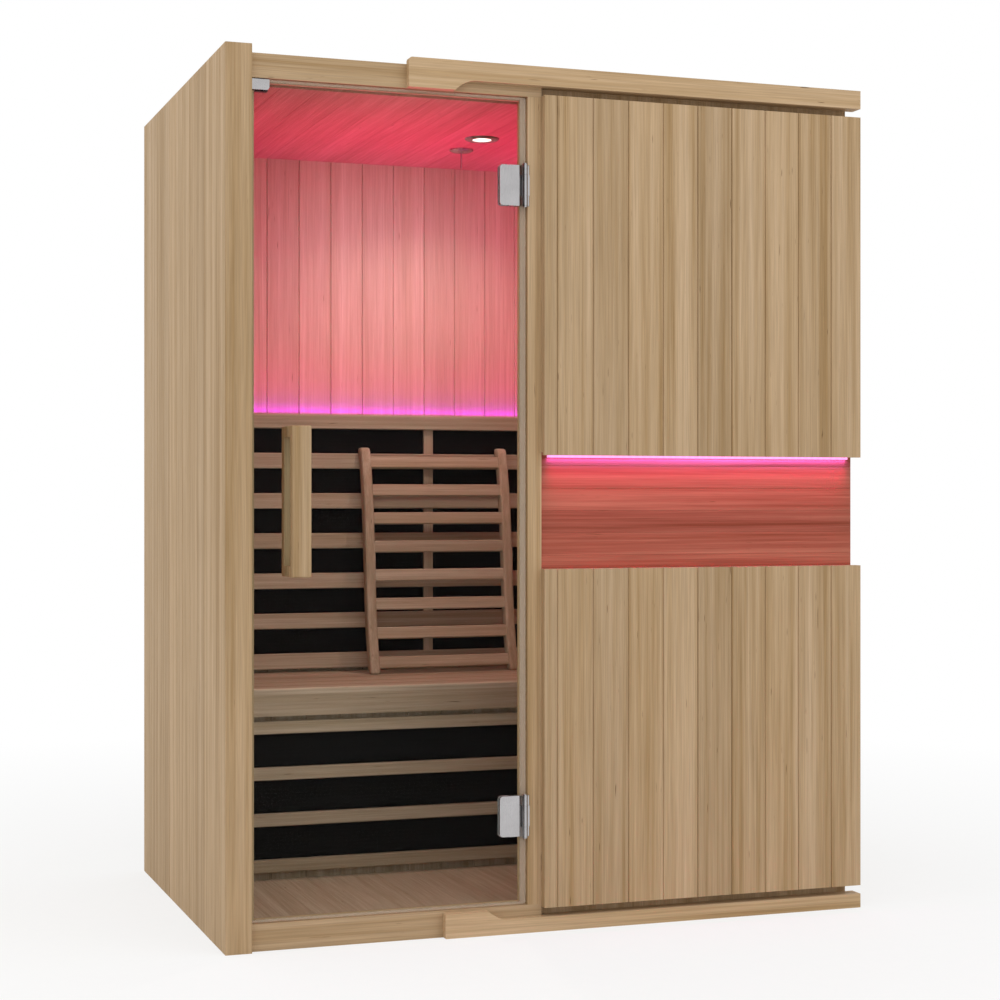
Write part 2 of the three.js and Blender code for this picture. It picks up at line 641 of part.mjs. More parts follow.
// Frame leaf: a plate let into the jamb, its knuckle, and the pin that runs through the clamp's knuckles
function hingeLeaf() {
  const plate = block(LEAF_THICKNESS, leafDepth - MORTISE_PLAY, HINGE_HEIGHT);
  plate.translate(PIN_ASIDE, leafFace, 0);
  const web = block(PIN_ASIDE + LEAF_THICKNESS, LEAF_WEB, KNUCKLE_LENGTH);
  web.translate(0, leafFace - LEAF_WEB, endKnuckle);
  const knuckle = cylinderUp(KNUCKLE_DIAMETER, KNUCKLE_LENGTH, PIN_STEPS).translate(0, 0, endKnuckle);
  const pinEnd = HINGE_PLAY + PIN_CAP_HEIGHT / 2;
  const pin = cylinderUp(PIN_DIAMETER, HINGE_HEIGHT + 2 * pinEnd, PIN_STEPS).translate(0, 0, -pinEnd);
  const lowerCap = pinCap().rotateX(Math.PI).translate(0, 0, -HINGE_PLAY);
  const upperCap = pinCap().translate(0, 0, HINGE_HEIGHT + HINGE_PLAY);
  return join(plate, web, knuckle, pin, lowerCap, upperCap);
}

function addHinges() {
  const hinges = { lower: lowerHinge, upper: upperHinge };
  for (const [name, bottom] of Object.entries(hinges)) {
    addPiece(door, `${name}_hinge_outer_clamp`, satinSteel, outerClamp(), 0, 0, bottom);
    const inner = clampPlate();
    addPiece(door, `${name}_hinge_inner_clamp`, satinSteel, inner, 0, PIN_OUT + GLASS_THICKNESS, bottom);
    addPiece(cabin, `${name}_hinge_leaf`, satinSteel, hingeLeaf(), pinX, pinY, bottom);
  }
}

// Side view of a handle: a bar held off the glass by a block at each end
function handleOutline() {
  const outline = new THREE.Shape();
  const corner = HANDLE_CORNER;
  outline.moveTo(0, 0);
  outline.lineTo(handleReach - corner, 0);
  outline.absarc(handleReach - corner, corner, corner, -Math.PI / 2, 0);
  outline.lineTo(handleReach, HANDLE_LENGTH - corner);
  outline.absarc(handleReach - corner, HANDLE_LENGTH - corner, corner, 0, Math.PI / 2);
  outline.lineTo(0, HANDLE_LENGTH);
  outline.lineTo(0, HANDLE_LENGTH - HANDLE_BLOCK);
  outline.lineTo(HANDLE_STANDOFF, HANDLE_LENGTH - HANDLE_BLOCK);
  outline.lineTo(HANDLE_STANDOFF, HANDLE_BLOCK);
  outline.lineTo(0, HANDLE_BLOCK);
  return outline;
}

function addDoor() {
  door.position.set(snap(pinX), snap(pinY), 0);
  const pane = roundedPlate(glassRight - glassLeft, glassTop - glassBottom, GLASS_CORNER);
  const glass = extrudeBack(pane, GLASS_THICKNESS, GLASS_EDGE);
  addPiece(door, "door_glass", clearGlass, glass, glassLeft - pinX, PIN_OUT, glassBottom);

  const handleLeft = glassLeft + HANDLE_INSET - pinX;
  const outer = extrudeAcross(mirrored(handleOutline()), HANDLE_WIDTH, HANDLE_EDGE);
  addPiece(door, "outer_handle", outerTimber, outer, handleLeft, PIN_OUT, handleBottom);
  const inner = extrudeAcross(handleOutline(), HANDLE_WIDTH, HANDLE_EDGE);
  addPiece(door, "inner_handle", outerTimber, inner, handleLeft, PIN_OUT + GLASS_THICKNESS, handleBottom);
}

// A steel clip round the glass's free edge, and the magnet that holds it
function addCatch() {
  const clipDepth = GLASS_THICKNESS + 2 * STRIKE_THICKNESS;
  const clipWidth = STRIKE_WIDTH + STRIKE_WRAP;
  const slot = block(STRIKE_WIDTH, GLASS_THICKNESS, STRIKE_HEIGHT);
  slot.translate(STRIKE_WRAP, STRIKE_THICKNESS, 0);
  const clip = cut(block(clipWidth, clipDepth, STRIKE_HEIGHT), slot);
  const face = roundedPlate(2 * clipWidth, 2 * STRIKE_HEIGHT, STRIKE_CORNER);
  const trimmed = overlap(clip, extrudeBack(face, clipDepth).translate(-clipWidth, 0, 0));
  const left = glassLeft - STRIKE_WRAP - pinX;
  const bottom = glassTop - STRIKE_HEIGHT;
  addPiece(door, "strike_plate", satinSteel, trimmed, left, PIN_OUT - STRIKE_THICKNESS, bottom);

  const magnet = block(CATCH_WIDTH, CATCH_DEPTH, CATCH_HEIGHT);
  const magnetLeft = innerLeft + STRIKE_STOP_WIDTH + CATCH_INSET;
  const magnetFront = glassBack + STRIKE_THICKNESS + CATCH_GAP;
  const magnetBottom = doorHead - STOP_RISE - CATCH_HEIGHT;
  addPiece(cabin, "magnet_catch", blackPlastic, magnet, magnetLeft, magnetFront, magnetBottom);
}

// A horizontal slat with eased edges, running from wall to wall
function wallToWallSlat(thickness, height) {
  return extrudeAcross(roundedPlate(thickness, height, SLAT_ROUND), INNER_WIDTH);
}

function addBench() {
  const seatDepth = BENCH_DEPTH - APRON_THICKNESS;
  const seatJoints = openJoints(BOARD_PITCH, BOARD_PITCH);
  const seat = extrudeAcross(boards(seatDepth, SEAT_THICKNESS, seatJoints, false, true), INNER_WIDTH);
  addPiece(cabin, "bench_seat", innerTimber, seat, innerLeft, benchFront + APRON_THICKNESS, seatBottom);

  const apronOutline = new THREE.Shape();
  apronOutline.moveTo(0, 0);
  apronOutline.lineTo(APRON_THICKNESS, 0);
  apronOutline.lineTo(APRON_THICKNESS, APRON_HEIGHT);
  apronOutline.lineTo(APRON_ROUND, APRON_HEIGHT);
  apronOutline.absarc(APRON_ROUND, APRON_HEIGHT - APRON_ROUND, APRON_ROUND, Math.PI / 2, Math.PI);
  const apron = extrudeAcross(apronOutline, INNER_WIDTH);
  const apronBottom = SEAT_HEIGHT - APRON_HEIGHT;
  addPiece(cabin, "bench_apron", innerTimber, apron, innerLeft, benchFront, apronBottom);

  const lowest = FLOOR_THICKNESS + BENCH_SLAT_BELOW;
  const highest = apronBottom - BENCH_SLAT_ABOVE - BENCH_SLAT_HEIGHT;
  for (let i = 0; i < BENCH_SLAT_COUNT; i++) {
    const slat = wallToWallSlat(BENCH_SLAT_THICKNESS, BENCH_SLAT_HEIGHT);
    const bottom = lowest + ((highest - lowest) * i) / (BENCH_SLAT_COUNT - 1);
    const front = benchPanelFront - BENCH_SLAT_THICKNESS;
    addPiece(cabin, `bench_slat_${i + 1}`, innerTimber, slat, innerLeft, front, bottom);
  }

  const heaterBottom = lowest + BENCH_SLAT_HEIGHT / 2;
  const heaterHeight = highest - lowest;
  const heaterWidth = INNER_WIDTH - 2 * HEATER_END;
  const recessDepth = HEATER_INSET + HEATER_THICKNESS;
  const heater = block(heaterWidth, HEATER_THICKNESS, heaterHeight);
  const heaterFront = benchPanelFront + HEATER_INSET;
  addPiece(cabin, "bench_heater", heaterFilm, heater, innerLeft + HEATER_END, heaterFront, heaterBottom);

  const panelJoints = openJoints(BACK_FIRST_JOINT, BOARD_PITCH);
  const panelBoards = boards(INNER_WIDTH, BENCH_PANEL_THICKNESS, panelJoints, true, false);
  const panel = extrudeUp(panelBoards, seatBottom - FLOOR_THICKNESS);
  const recess = block(heaterWidth + 2 * HEATER_PLAY, recessDepth, heaterHeight + 2 * HEATER_PLAY);
  recess.translate(HEATER_END - HEATER_PLAY, 0, heaterBottom - HEATER_PLAY - FLOOR_THICKNESS);
  const recessed = cut(panel, recess);
  addPiece(cabin, "bench_panel", innerTimber, recessed, innerLeft, benchPanelFront, FLOOR_THICKNESS);
}

function addBackGrille() {
  const heaterTop = grilleRailBottom;
  const heater = block(INNER_WIDTH - 2 * HEATER_PLAY, HEATER_THICKNESS, heaterTop - grilleBottom);
  const heaterFront = innerBack - HEATER_THICKNESS;
  addPiece(cabin, "back_heater", heaterFilm, heater, innerLeft + HEATER_PLAY, heaterFront, grilleBottom);

  const stile = block(STILE_WIDTH, STILE_THICKNESS, heaterTop - SEAT_HEIGHT);
  const stileLeft = innerMiddle - STILE_WIDTH / 2;
  addPiece(cabin, "grille_stile", innerTimber, stile, stileLeft, heaterFront - STILE_THICKNESS, SEAT_HEIGHT);

  const pitch = (grilleRailBottom - grilleBottom) / BACK_SLAT_COUNT;
  for (let i = 0; i < BACK_SLAT_COUNT; i++) {
    const slat = wallToWallSlat(BACK_SLAT_THICKNESS, BACK_SLAT_HEIGHT);
    const bottom = grilleBottom + pitch * i;
    addPiece(cabin, `back_slat_${i + 1}`, innerTimber, slat, innerLeft, grilleFront, bottom);
  }

  const rail = wallToWallSlat(GRILLE_RAIL_DEPTH, GRILLE_RAIL_HEIGHT);
  addPiece(cabin, "grille_top_rail", innerTimber, rail, innerLeft, grilleFront, grilleRailBottom);

  const strip = block(INNER_WIDTH - 2 * HEATER_END, grilleDepth - GRILLE_RAIL_DEPTH, BACK_STRIP_HEIGHT);
  const stripBottom = GRILLE_TOP - BACK_STRIP_DROP - BACK_STRIP_HEIGHT;
  const stripFront = grilleFront + GRILLE_RAIL_DEPTH;
  addPiece(cabin, "back_light_strip", pinkDiffuser, strip, innerLeft + HEATER_END, stripFront, stripBottom);
}

// Front line of the backrest in side view: it leans back at the foot, stands up behind the small of
// the back and leans back again at the top. Its height grows evenly along the curve.
const third = BACKREST_HEIGHT / 3;
const restLine = new THREE.CubicBezierCurve(
  new THREE.Vector2(0, 0),
  new THREE.Vector2(BACKREST_FOOT_SLOPE * third, third),
  new THREE.Vector2(BACKREST_LEAN - BACKREST_TOP_SLOPE * third, 2 * third),
  new THREE.Vector2(BACKREST_LEAN, BACKREST_HEIGHT),
);

function restRailOutline() {
  const low = REST_RAIL_ROUND / BACKREST_HEIGHT;
  const at = (i) => restLine.getPoint(low + ((1 - 2 * low) * i) / LEAN_STEPS);
  const outline = new THREE.Shape();
  outline.moveTo(REST_RAIL_ROUND, 0);
  outline.lineTo(REST_RAIL_DEPTH - REST_RAIL_ROUND, 0);
  const footBack = at(0);
  outline.quadraticCurveTo(REST_RAIL_DEPTH, 0, footBack.x + REST_RAIL_DEPTH, footBack.y);
  for (let i = 1; i <= LEAN_STEPS; i++) outline.lineTo(at(i).x + REST_RAIL_DEPTH, at(i).y);
  const topBack = BACKREST_LEAN + REST_RAIL_DEPTH;
  outline.quadraticCurveTo(topBack, BACKREST_HEIGHT, topBack - REST_RAIL_ROUND, BACKREST_HEIGHT);
  outline.lineTo(BACKREST_LEAN + REST_RAIL_ROUND, BACKREST_HEIGHT);
  const topFront = at(LEAN_STEPS);
  outline.quadraticCurveTo(BACKREST_LEAN, BACKREST_HEIGHT, topFront.x, topFront.y);
  for (let i = LEAN_STEPS - 1; i >= 0; i--) outline.lineTo(at(i).x, at(i).y);
  outline.quadraticCurveTo(0, 0, REST_RAIL_ROUND, 0);
  return outline;
}

function addBackrest() {
  const foot = grilleFront - REST_GAP - BACKREST_LEAN - REST_RAIL_DEPTH;
  backrest.position.set(snap(innerLeft + BACKREST_LEFT), snap(foot), snap(SEAT_HEIGHT + REST_GAP));
  const sides = { left: 0, right: BACKREST_WIDTH - REST_RAIL_WIDTH };
  for (const [name, left] of Object.entries(sides)) {
    const rail = extrudeAcross(restRailOutline(), REST_RAIL_WIDTH, REST_RAIL_EDGE);
    addPiece(backrest, `backrest_${name}_rail`, innerTimber, rail, left, 0, 0);
  }

  const span = BACKREST_HEIGHT - REST_SLAT_FIRST - REST_SLAT_LAST;
  for (let i = 0; i < REST_SLAT_COUNT; i++) {
    const height = REST_SLAT_FIRST + (span * i) / (REST_SLAT_COUNT - 1);
    const middle = restLine.getPoint(height / BACKREST_HEIGHT);
    const tangent = restLine.getTangent(height / BACKREST_HEIGHT);
    const outline = roundedPlate(REST_SLAT_THICKNESS, REST_SLAT_HEIGHT, SLAT_ROUND);
    const slat = extrudeAcross(outline, BACKREST_WIDTH - 2 * REST_RAIL_WIDTH);
    slat.translate(0, REST_SLAT_INSET, -REST_SLAT_HEIGHT / 2);
    const name = `backrest_slat_${i + 1}`;
    const piece = addPiece(backrest, name, innerTimber, slat, REST_RAIL_WIDTH, middle.x, middle.y);
    piece.rotation.x = -Math.atan2(tangent.x, tangent.y);
  }
}

function addCeilingFittings() {
  const lightY = innerBack - LIGHT_FROM_BACK;
  const rim = LIGHT_DIAMETER / 2;
  const can = LIGHT_CAN_DIAMETER / 2;
  const bore = LENS_DIAMETER / 2 + FIT_GAP;
  const ringProfile = [
    new THREE.Vector2(bore, -LIGHT_RIM),
    new THREE.Vector2(rim - LIGHT_RIM, -LIGHT_RIM),
    new THREE.Vector2(rim, 0),
    new THREE.Vector2(can, 0),
    new THREE.Vector2(can, LIGHT_CAN_DEPTH),
    new THREE.Vector2(bore, LIGHT_CAN_DEPTH),
    new THREE.Vector2(bore, -LIGHT_RIM),
  ];
  const ring = turned(ringProfile, ROUND_STEPS);
  addPiece(cabin, "ceiling_light_ring", satinSteel, ring, innerMiddle, lightY, ceiling);

  const lensRadius = LENS_DIAMETER / 2;
  const lensProfile = [
    new THREE.Vector2(0, -LENS_RECESS),
    new THREE.Vector2(lensRadius * LENS_SHOULDER, -LENS_RECESS / 2),
    new THREE.Vector2(lensRadius, 0),
    new THREE.Vector2(lensRadius, LENS_THICKNESS),
    new THREE.Vector2(0, LENS_THICKNESS),
  ];
  const lens = turned(lensProfile, ROUND_STEPS);
  addPiece(cabin, "ceiling_light_lens", lampGlass, lens, innerMiddle, lightY, ceiling - LENS_RECESS);

  const rose = SENSOR_DIAMETER / 2;
  const probe = PROBE_DIAMETER / 2;
  const sensorProfile = [
    new THREE.Vector2(0, -PROBE_LENGTH),
    new THREE.Vector2(probe, -PROBE_LENGTH),
    new THREE.Vector2(probe, -SENSOR_HEIGHT),
    new THREE.Vector2(rose - SENSOR_HEIGHT, -SENSOR_HEIGHT),
    new THREE.Vector2(rose, -SENSOR_HEIGHT / 2),
    new THREE.Vector2(rose, 0),
    new THREE.Vector2(0, 0),
  ];
  const sensor = turned(sensorProfile, ROUND_STEPS);
  const sensorY = innerBack - SENSOR_FROM_BACK;
  addPiece(cabin, "ceiling_sensor", satinSteel, sensor, innerMiddle, sensorY, ceiling);
}

function addControls() {
  const controlFace = roundedPlate(CONTROL_WIDTH, CONTROL_HEIGHT, CONTROL_CORNER);
  const control = extrudeBack(controlFace, CONTROL_DEPTH, CONTROL_EDGE);
  const controlLeft = jambRight + CONTROL_FROM_JAMB;
  addPiece(cabin, "control_panel", blackPlastic, control, controlLeft, innerFront, CONTROL_BOTTOM);

  const section = new THREE.Shape();
  section.moveTo(0, 0);
  section.lineTo(POWER_WIDTH, 0);
  section.lineTo(POWER_WIDTH, POWER_FLANGE_THICKNESS);
  section.lineTo(POWER_WIDTH - POWER_FLANGE, POWER_FLANGE_THICKNESS);
  section.lineTo(POWER_WIDTH - POWER_FLANGE, POWER_HEIGHT);
  section.lineTo(POWER_FLANGE, POWER_HEIGHT);
  section.lineTo(POWER_FLANGE, POWER_FLANGE_THICKNESS);
  section.lineTo(0, POWER_FLANGE_THICKNESS);
  const gland = cylinderUp(GLAND_DIAMETER, GLAND_LENGTH, PIN_STEPS).rotateX(-Math.PI / 2);
  gland.translate(POWER_WIDTH / 2, POWER_DEPTH - FIT_GAP, POWER_HEIGHT / 2);
  const unit = join(extrudeBack(section, POWER_DEPTH), gland);
  const unitLeft = innerRight - POWER_FROM_RIGHT - POWER_WIDTH;
  const unitFront = innerBack - POWER_FROM_BACK - POWER_DEPTH;
  addPiece(cabin, "power_unit", paintedSteel, unit, unitLeft, unitFront, roofTop);
}

addShell();
addCladding();
addFasciaAndPlinth();
addDoorFrame();
addHinges();
addDoor();
addCatch();
addBench();
addBackGrille();
addBackrest();
addCeilingFittings();
addControls();

// The origin is on the ground in the middle of the whole outline, from the outer handle to the back wall.
const handleFront = glassFront - handleReach;
cabin.position.set(snap(-facadeRight / 2), snap(-(CABIN_DEPTH + handleFront) / 2), 0);

export default sauna;
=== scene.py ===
import json
import math

import bmesh
import bpy
from bpy.props import FloatProperty, FloatVectorProperty, IntProperty, PointerProperty
from bpy.types import Operator, Panel, PropertyGroup
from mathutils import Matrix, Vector


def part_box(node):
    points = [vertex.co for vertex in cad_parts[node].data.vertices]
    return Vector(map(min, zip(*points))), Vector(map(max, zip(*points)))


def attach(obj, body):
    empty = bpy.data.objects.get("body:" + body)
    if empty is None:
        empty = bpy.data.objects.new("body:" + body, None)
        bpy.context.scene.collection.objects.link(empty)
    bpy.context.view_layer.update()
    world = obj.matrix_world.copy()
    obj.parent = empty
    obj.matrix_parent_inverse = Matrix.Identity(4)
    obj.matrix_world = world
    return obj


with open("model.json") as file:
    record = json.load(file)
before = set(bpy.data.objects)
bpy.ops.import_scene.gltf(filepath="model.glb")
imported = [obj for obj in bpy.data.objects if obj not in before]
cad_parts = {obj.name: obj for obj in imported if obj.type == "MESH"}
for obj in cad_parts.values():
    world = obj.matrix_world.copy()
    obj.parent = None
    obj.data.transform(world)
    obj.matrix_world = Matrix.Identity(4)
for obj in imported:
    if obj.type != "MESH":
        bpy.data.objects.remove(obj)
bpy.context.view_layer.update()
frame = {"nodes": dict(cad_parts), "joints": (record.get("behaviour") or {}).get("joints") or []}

bl_info = {
    "name": "Infrared sauna cabin",
    "version": (1, 0, 0),
    "blender": (4, 5, 0),
    "location": "View3D > Sidebar > Sauna",
    "description": "Finishes, fittings and a studio for a timber infrared sauna cabin",
    "category": "Object",
}

MM = 0.001
X, Y, Z = range(3)

GRAIN_STOPS = (0.36, 0.49, 0.64)  # where dark, middle and pale grain lie in the noise
BOARD_SHIFT = 60  # boards take their grain from places up to this far apart, in the noise's own units
SEED_STEP = 31  # keeps the boards of one finish off the tones of the next
WAVE_FACTOR = 20  # the wave texture multiplies its scale by this

# Nodes of one finish, named once
UPRIGHT_TRIM = ["strike_jamb", "outer_handle", "inner_handle"]
INNER_ACROSS = ["bench_apron", "grille_top_rail"]
BENCH_SLATS = [f"bench_slat_{i}" for i in range(1, 5)]
BACK_SLATS = [f"back_slat_{i}" for i in range(1, 7)]
REST_SLATS = [f"backrest_slat_{i}" for i in range(1, 9)]
INNER_UPRIGHT = ["grille_stile", "backrest_left_rail", "backrest_right_rail"]
HINGE_PARTS = ["leaf", "outer_clamp", "inner_clamp"]
HINGE_STEEL = [f"{level}_hinge_{part}" for level in ("lower", "upper") for part in HINGE_PARTS]


def linear(code):
    """An sRGB hex colour as linear red, green and blue."""
    shares = [int(code[i : i + 2], 16) / 255 for i in (1, 3, 5)]
    return tuple(s / 12.92 if s <= 0.04045 else ((s + 0.055) / 1.055) ** 2.4 for s in shares)


def colour(name, description, code):
    """A colour setting, given as sRGB hex."""
    return FloatVectorProperty(
        name=name, description=description, default=linear(code), subtype="COLOR", size=3, min=0, max=1
    )


def length(name, description, millimetres):
    """A length setting, given in millimetres."""
    return FloatProperty(name=name, description=description, default=millimetres * MM, unit="LENGTH", min=0)


def brightness(name, description, strength):
    """A setting of how strongly a light shines."""
    return FloatProperty(name=name, description=description, default=strength, min=0)


def number_of(name, description, count):
    """A setting of how many pieces there are."""
    return IntProperty(name=name, description=description, default=count, min=1)


class SaunaTimber(PropertyGroup):
    """Boards, grain and colours of the planed timber."""

    board_pitch: length("Board pitch", "Width of a tongue-and-groove board", 87)
    wall_first: length("Side wall joint", "Front edge of a side wall to its first joint", 58)
    room_first: length("Room joint", "Left wall to the first joint of the back wall, floor and ceiling", 82)
    facade_first: length("Facade joint", "Left edge of the cladding to its first joint", 31.5)
    niche_pitch: length("Niche board pitch", "Height of a niche board", 51)
    niche_first: length("Niche joint", "Lower edge of the niche boards to their first joint", 9)
    streak: length("Streak width", "Width of a soft streak of the grain", 11)
    streak_run: length("Streak length", "Length of a soft streak of the grain", 900)
    band: length("Band width", "Width of a band of darker heartwood", 42)
    band_run: length("Band length", "Length of a band of darker heartwood", 2200)
    fibre: length("Fibre width", "Width of a fibre line, drawn wide enough to show", 2.6)
    fibre_run: length("Fibre length", "Length of a fibre line", 170)
    fleck: length("Fleck width", "Width of a dark pitch fleck", 4)
    fleck_run: length("Fleck length", "Length of a dark pitch fleck", 60)
    relief: length("Grain relief", "Depth of the grain on the planed face", 0.35)
    pale: colour("Pale grain", "Early wood of the hemlock", "#C5AA8A")
    middle: colour("Middle grain", "Most of the hemlock", "#B59976")
    dark: colour("Dark grain", "Late wood of the hemlock", "#A1835C")
    inner_pale: colour("Pale inner grain", "Early wood of the room's hemlock", "#BFAC98")
    inner_middle: colour("Middle inner grain", "Most of the room's hemlock", "#AD9983")
    inner_dark: colour("Dark inner grain", "Late wood of the room's hemlock", "#9D896F")
    fleck_colour: colour("Fleck", "Pitch flecks in the hemlock", "#5F4529")
    cedar_pale: colour("Pale cedar", "Early wood of the niche's red cedar", "#B8735E")
    cedar_middle: colour("Middle cedar", "Most of the niche's red cedar", "#A45A49")
    cedar_dark: colour("Dark cedar", "Late wood of the niche's red cedar", "#8C4633")


class SaunaFinishes(PropertyGroup):
    """Colours of the fittings, the lights and the studio."""

    steel: colour("Steel", "Satin stainless steel of the hinges", "#BDBBBC")
    flag: colour("Studio flag", "Black cloth that the steel mirrors", "#0B0A0A")
    glass: colour("Glass", "Clear toughened glass of the door", "#F8FBF9")
    # Painted light: the colour of the pale bands on the glass, which stand in for the lit frame seen through
    # its edges
    glass_painted_edge: colour("Glass edge", "Seal and ground edges of the door glass", "#CDB9A6")
    heater: colour("Heater film", "Carbon heater film", "#0D0C0C")
    heater_line: colour("Heater line", "Printed carbon lines of the heater film", "#141313")
    led: colour("Strip light", "Pink strip lights", "#FF9CE2")
    glow: colour("Strip glow", "Violet light close to the back strip", "#C000FF")
    niche_glow: colour("Niche glow", "Pale violet light close to the niche strip", "#B468FF")
    pale_wash: colour("Pale wash", "Pale light on the middle of the back wall", "#ACE9FF")
    red_wash: colour("Red wash", "Crimson light on the back wall, the ceiling and the niche", "#FF1E80")
    lamp: colour("Ceiling lamp", "Warm white of the ceiling lamp", "#FFF4E6")
    plastic: colour("Black plastic", "Moulded ABS of the control panel and the catch", "#1B1B1C")
    display: colour("Display", "Dark glass of the control panel's display", "#0C1418")
    key: colour("Touch keys", "Printed rings of the touch keys", "#C9CED2")
    paint: colour("Grey paint", "Powder coat of the power unit", "#3A3B3D")
    floor: colour("Studio floor", "Pale floor under the cabin", "#EFEFEE")


class SaunaFittings(PropertyGroup):
    """Sizes and counts of the small fittings, and how bright the lights are."""

    # Painted light: widths of the pale bands on the glass, which stand in for the lit frame seen through its
    # edges
    glass_painted_reveal: length("Glass seal", "Width of the pale seal along the hinge side of the glass", 13)
    glass_painted_edge: length("Glass edge", "Width of the ground edges above and below the glass", 5)
    screw_head: length("Hinge screw", "Diameter of a hinge screw's head", 9)
    screw_rise: length("Screw rise", "Height of a screw's head", 1.6)
    screw_gap: length("Hinge screw gap", "Distance between the two screws of a clamp", 46)
    flange: length("Flange thickness", "Thickness of the power unit's flanges", 3)
    flange_screw_inset: length("Flange screw inset", "Power unit's edge to a screw of its flanges", 11)
    flange_screw_gap: length("Flange screw gap", "Distance between the two screws of a flange", 170)
    louvre_count: number_of("Louvres", "Louvres on the power unit", 12)
    louvre_length: length("Louvre length", "Length of a louvre of the power unit", 120)
    louvre_width: length("Louvre width", "Width of a louvre of the power unit", 9)
    louvre_rise: length("Louvre rise", "Height of a louvre of the power unit", 3)
    key_count: number_of("Touch keys", "Touch keys on the control panel", 5)
    key_size: length("Touch key", "Diameter of a touch key's ring", 15)
    display_width: length("Display width", "Width of the control panel's display", 126)
    display_height: length("Display height", "Height of the control panel's display", 46)
    display_rise: length("Display rise", "Height of the display's glass above the case", 0.8)
    led_pitch: length("Light pitch", "Distance between two lights of a strip", 16.7)
    strip_glow: brightness("Strip glow", "Brightness of the strip lights", 1.15)
    lamp_glow: brightness("Lamp glow", "Brightness of the ceiling lamp", 6.0)


def add_node(tree, kind, inputs=None, stops=None, **settings):
    """Adds a node: its settings, its ramp's stops, and its inputs as values or as links from sockets."""
    made = tree.nodes.new(kind)
    for name, value in settings.items():
        setattr(made, name, value)
    for place, shade in stops or []:
        ramp = made.color_ramp.elements
        stop = ramp[0] if place == stops[0][0] else ramp[-1] if place == stops[-1][0] else ramp.new(place)
        stop.position = place
        stop.color = (*shade, 1)
    for name, value in (inputs or {}).items():
        if isinstance(value, bpy.types.NodeSocket):
            tree.links.new(value, made.inputs[name])
        else:
            made.inputs[name].default_value = value
    return made


def new_finish(name):
    """An empty material, with its node tree and its surface shader."""
    material = bpy.data.materials.new(name)
    material.use_nodes = True
    return material, material.node_tree, material.node_tree.nodes["Principled BSDF"]


def opaque(shade):
    """A colour with full alpha, as a node's socket takes it."""
    return (*shade, 1)


def scaled(shade, share):
    """A colour with its brightness scaled."""
    return tuple(share * c for c in shade)


def between(one, other, share):
    """A colour between two, with a share of the other."""
    return tuple((1 - share) * a + share * b for a, b in zip(one, other))


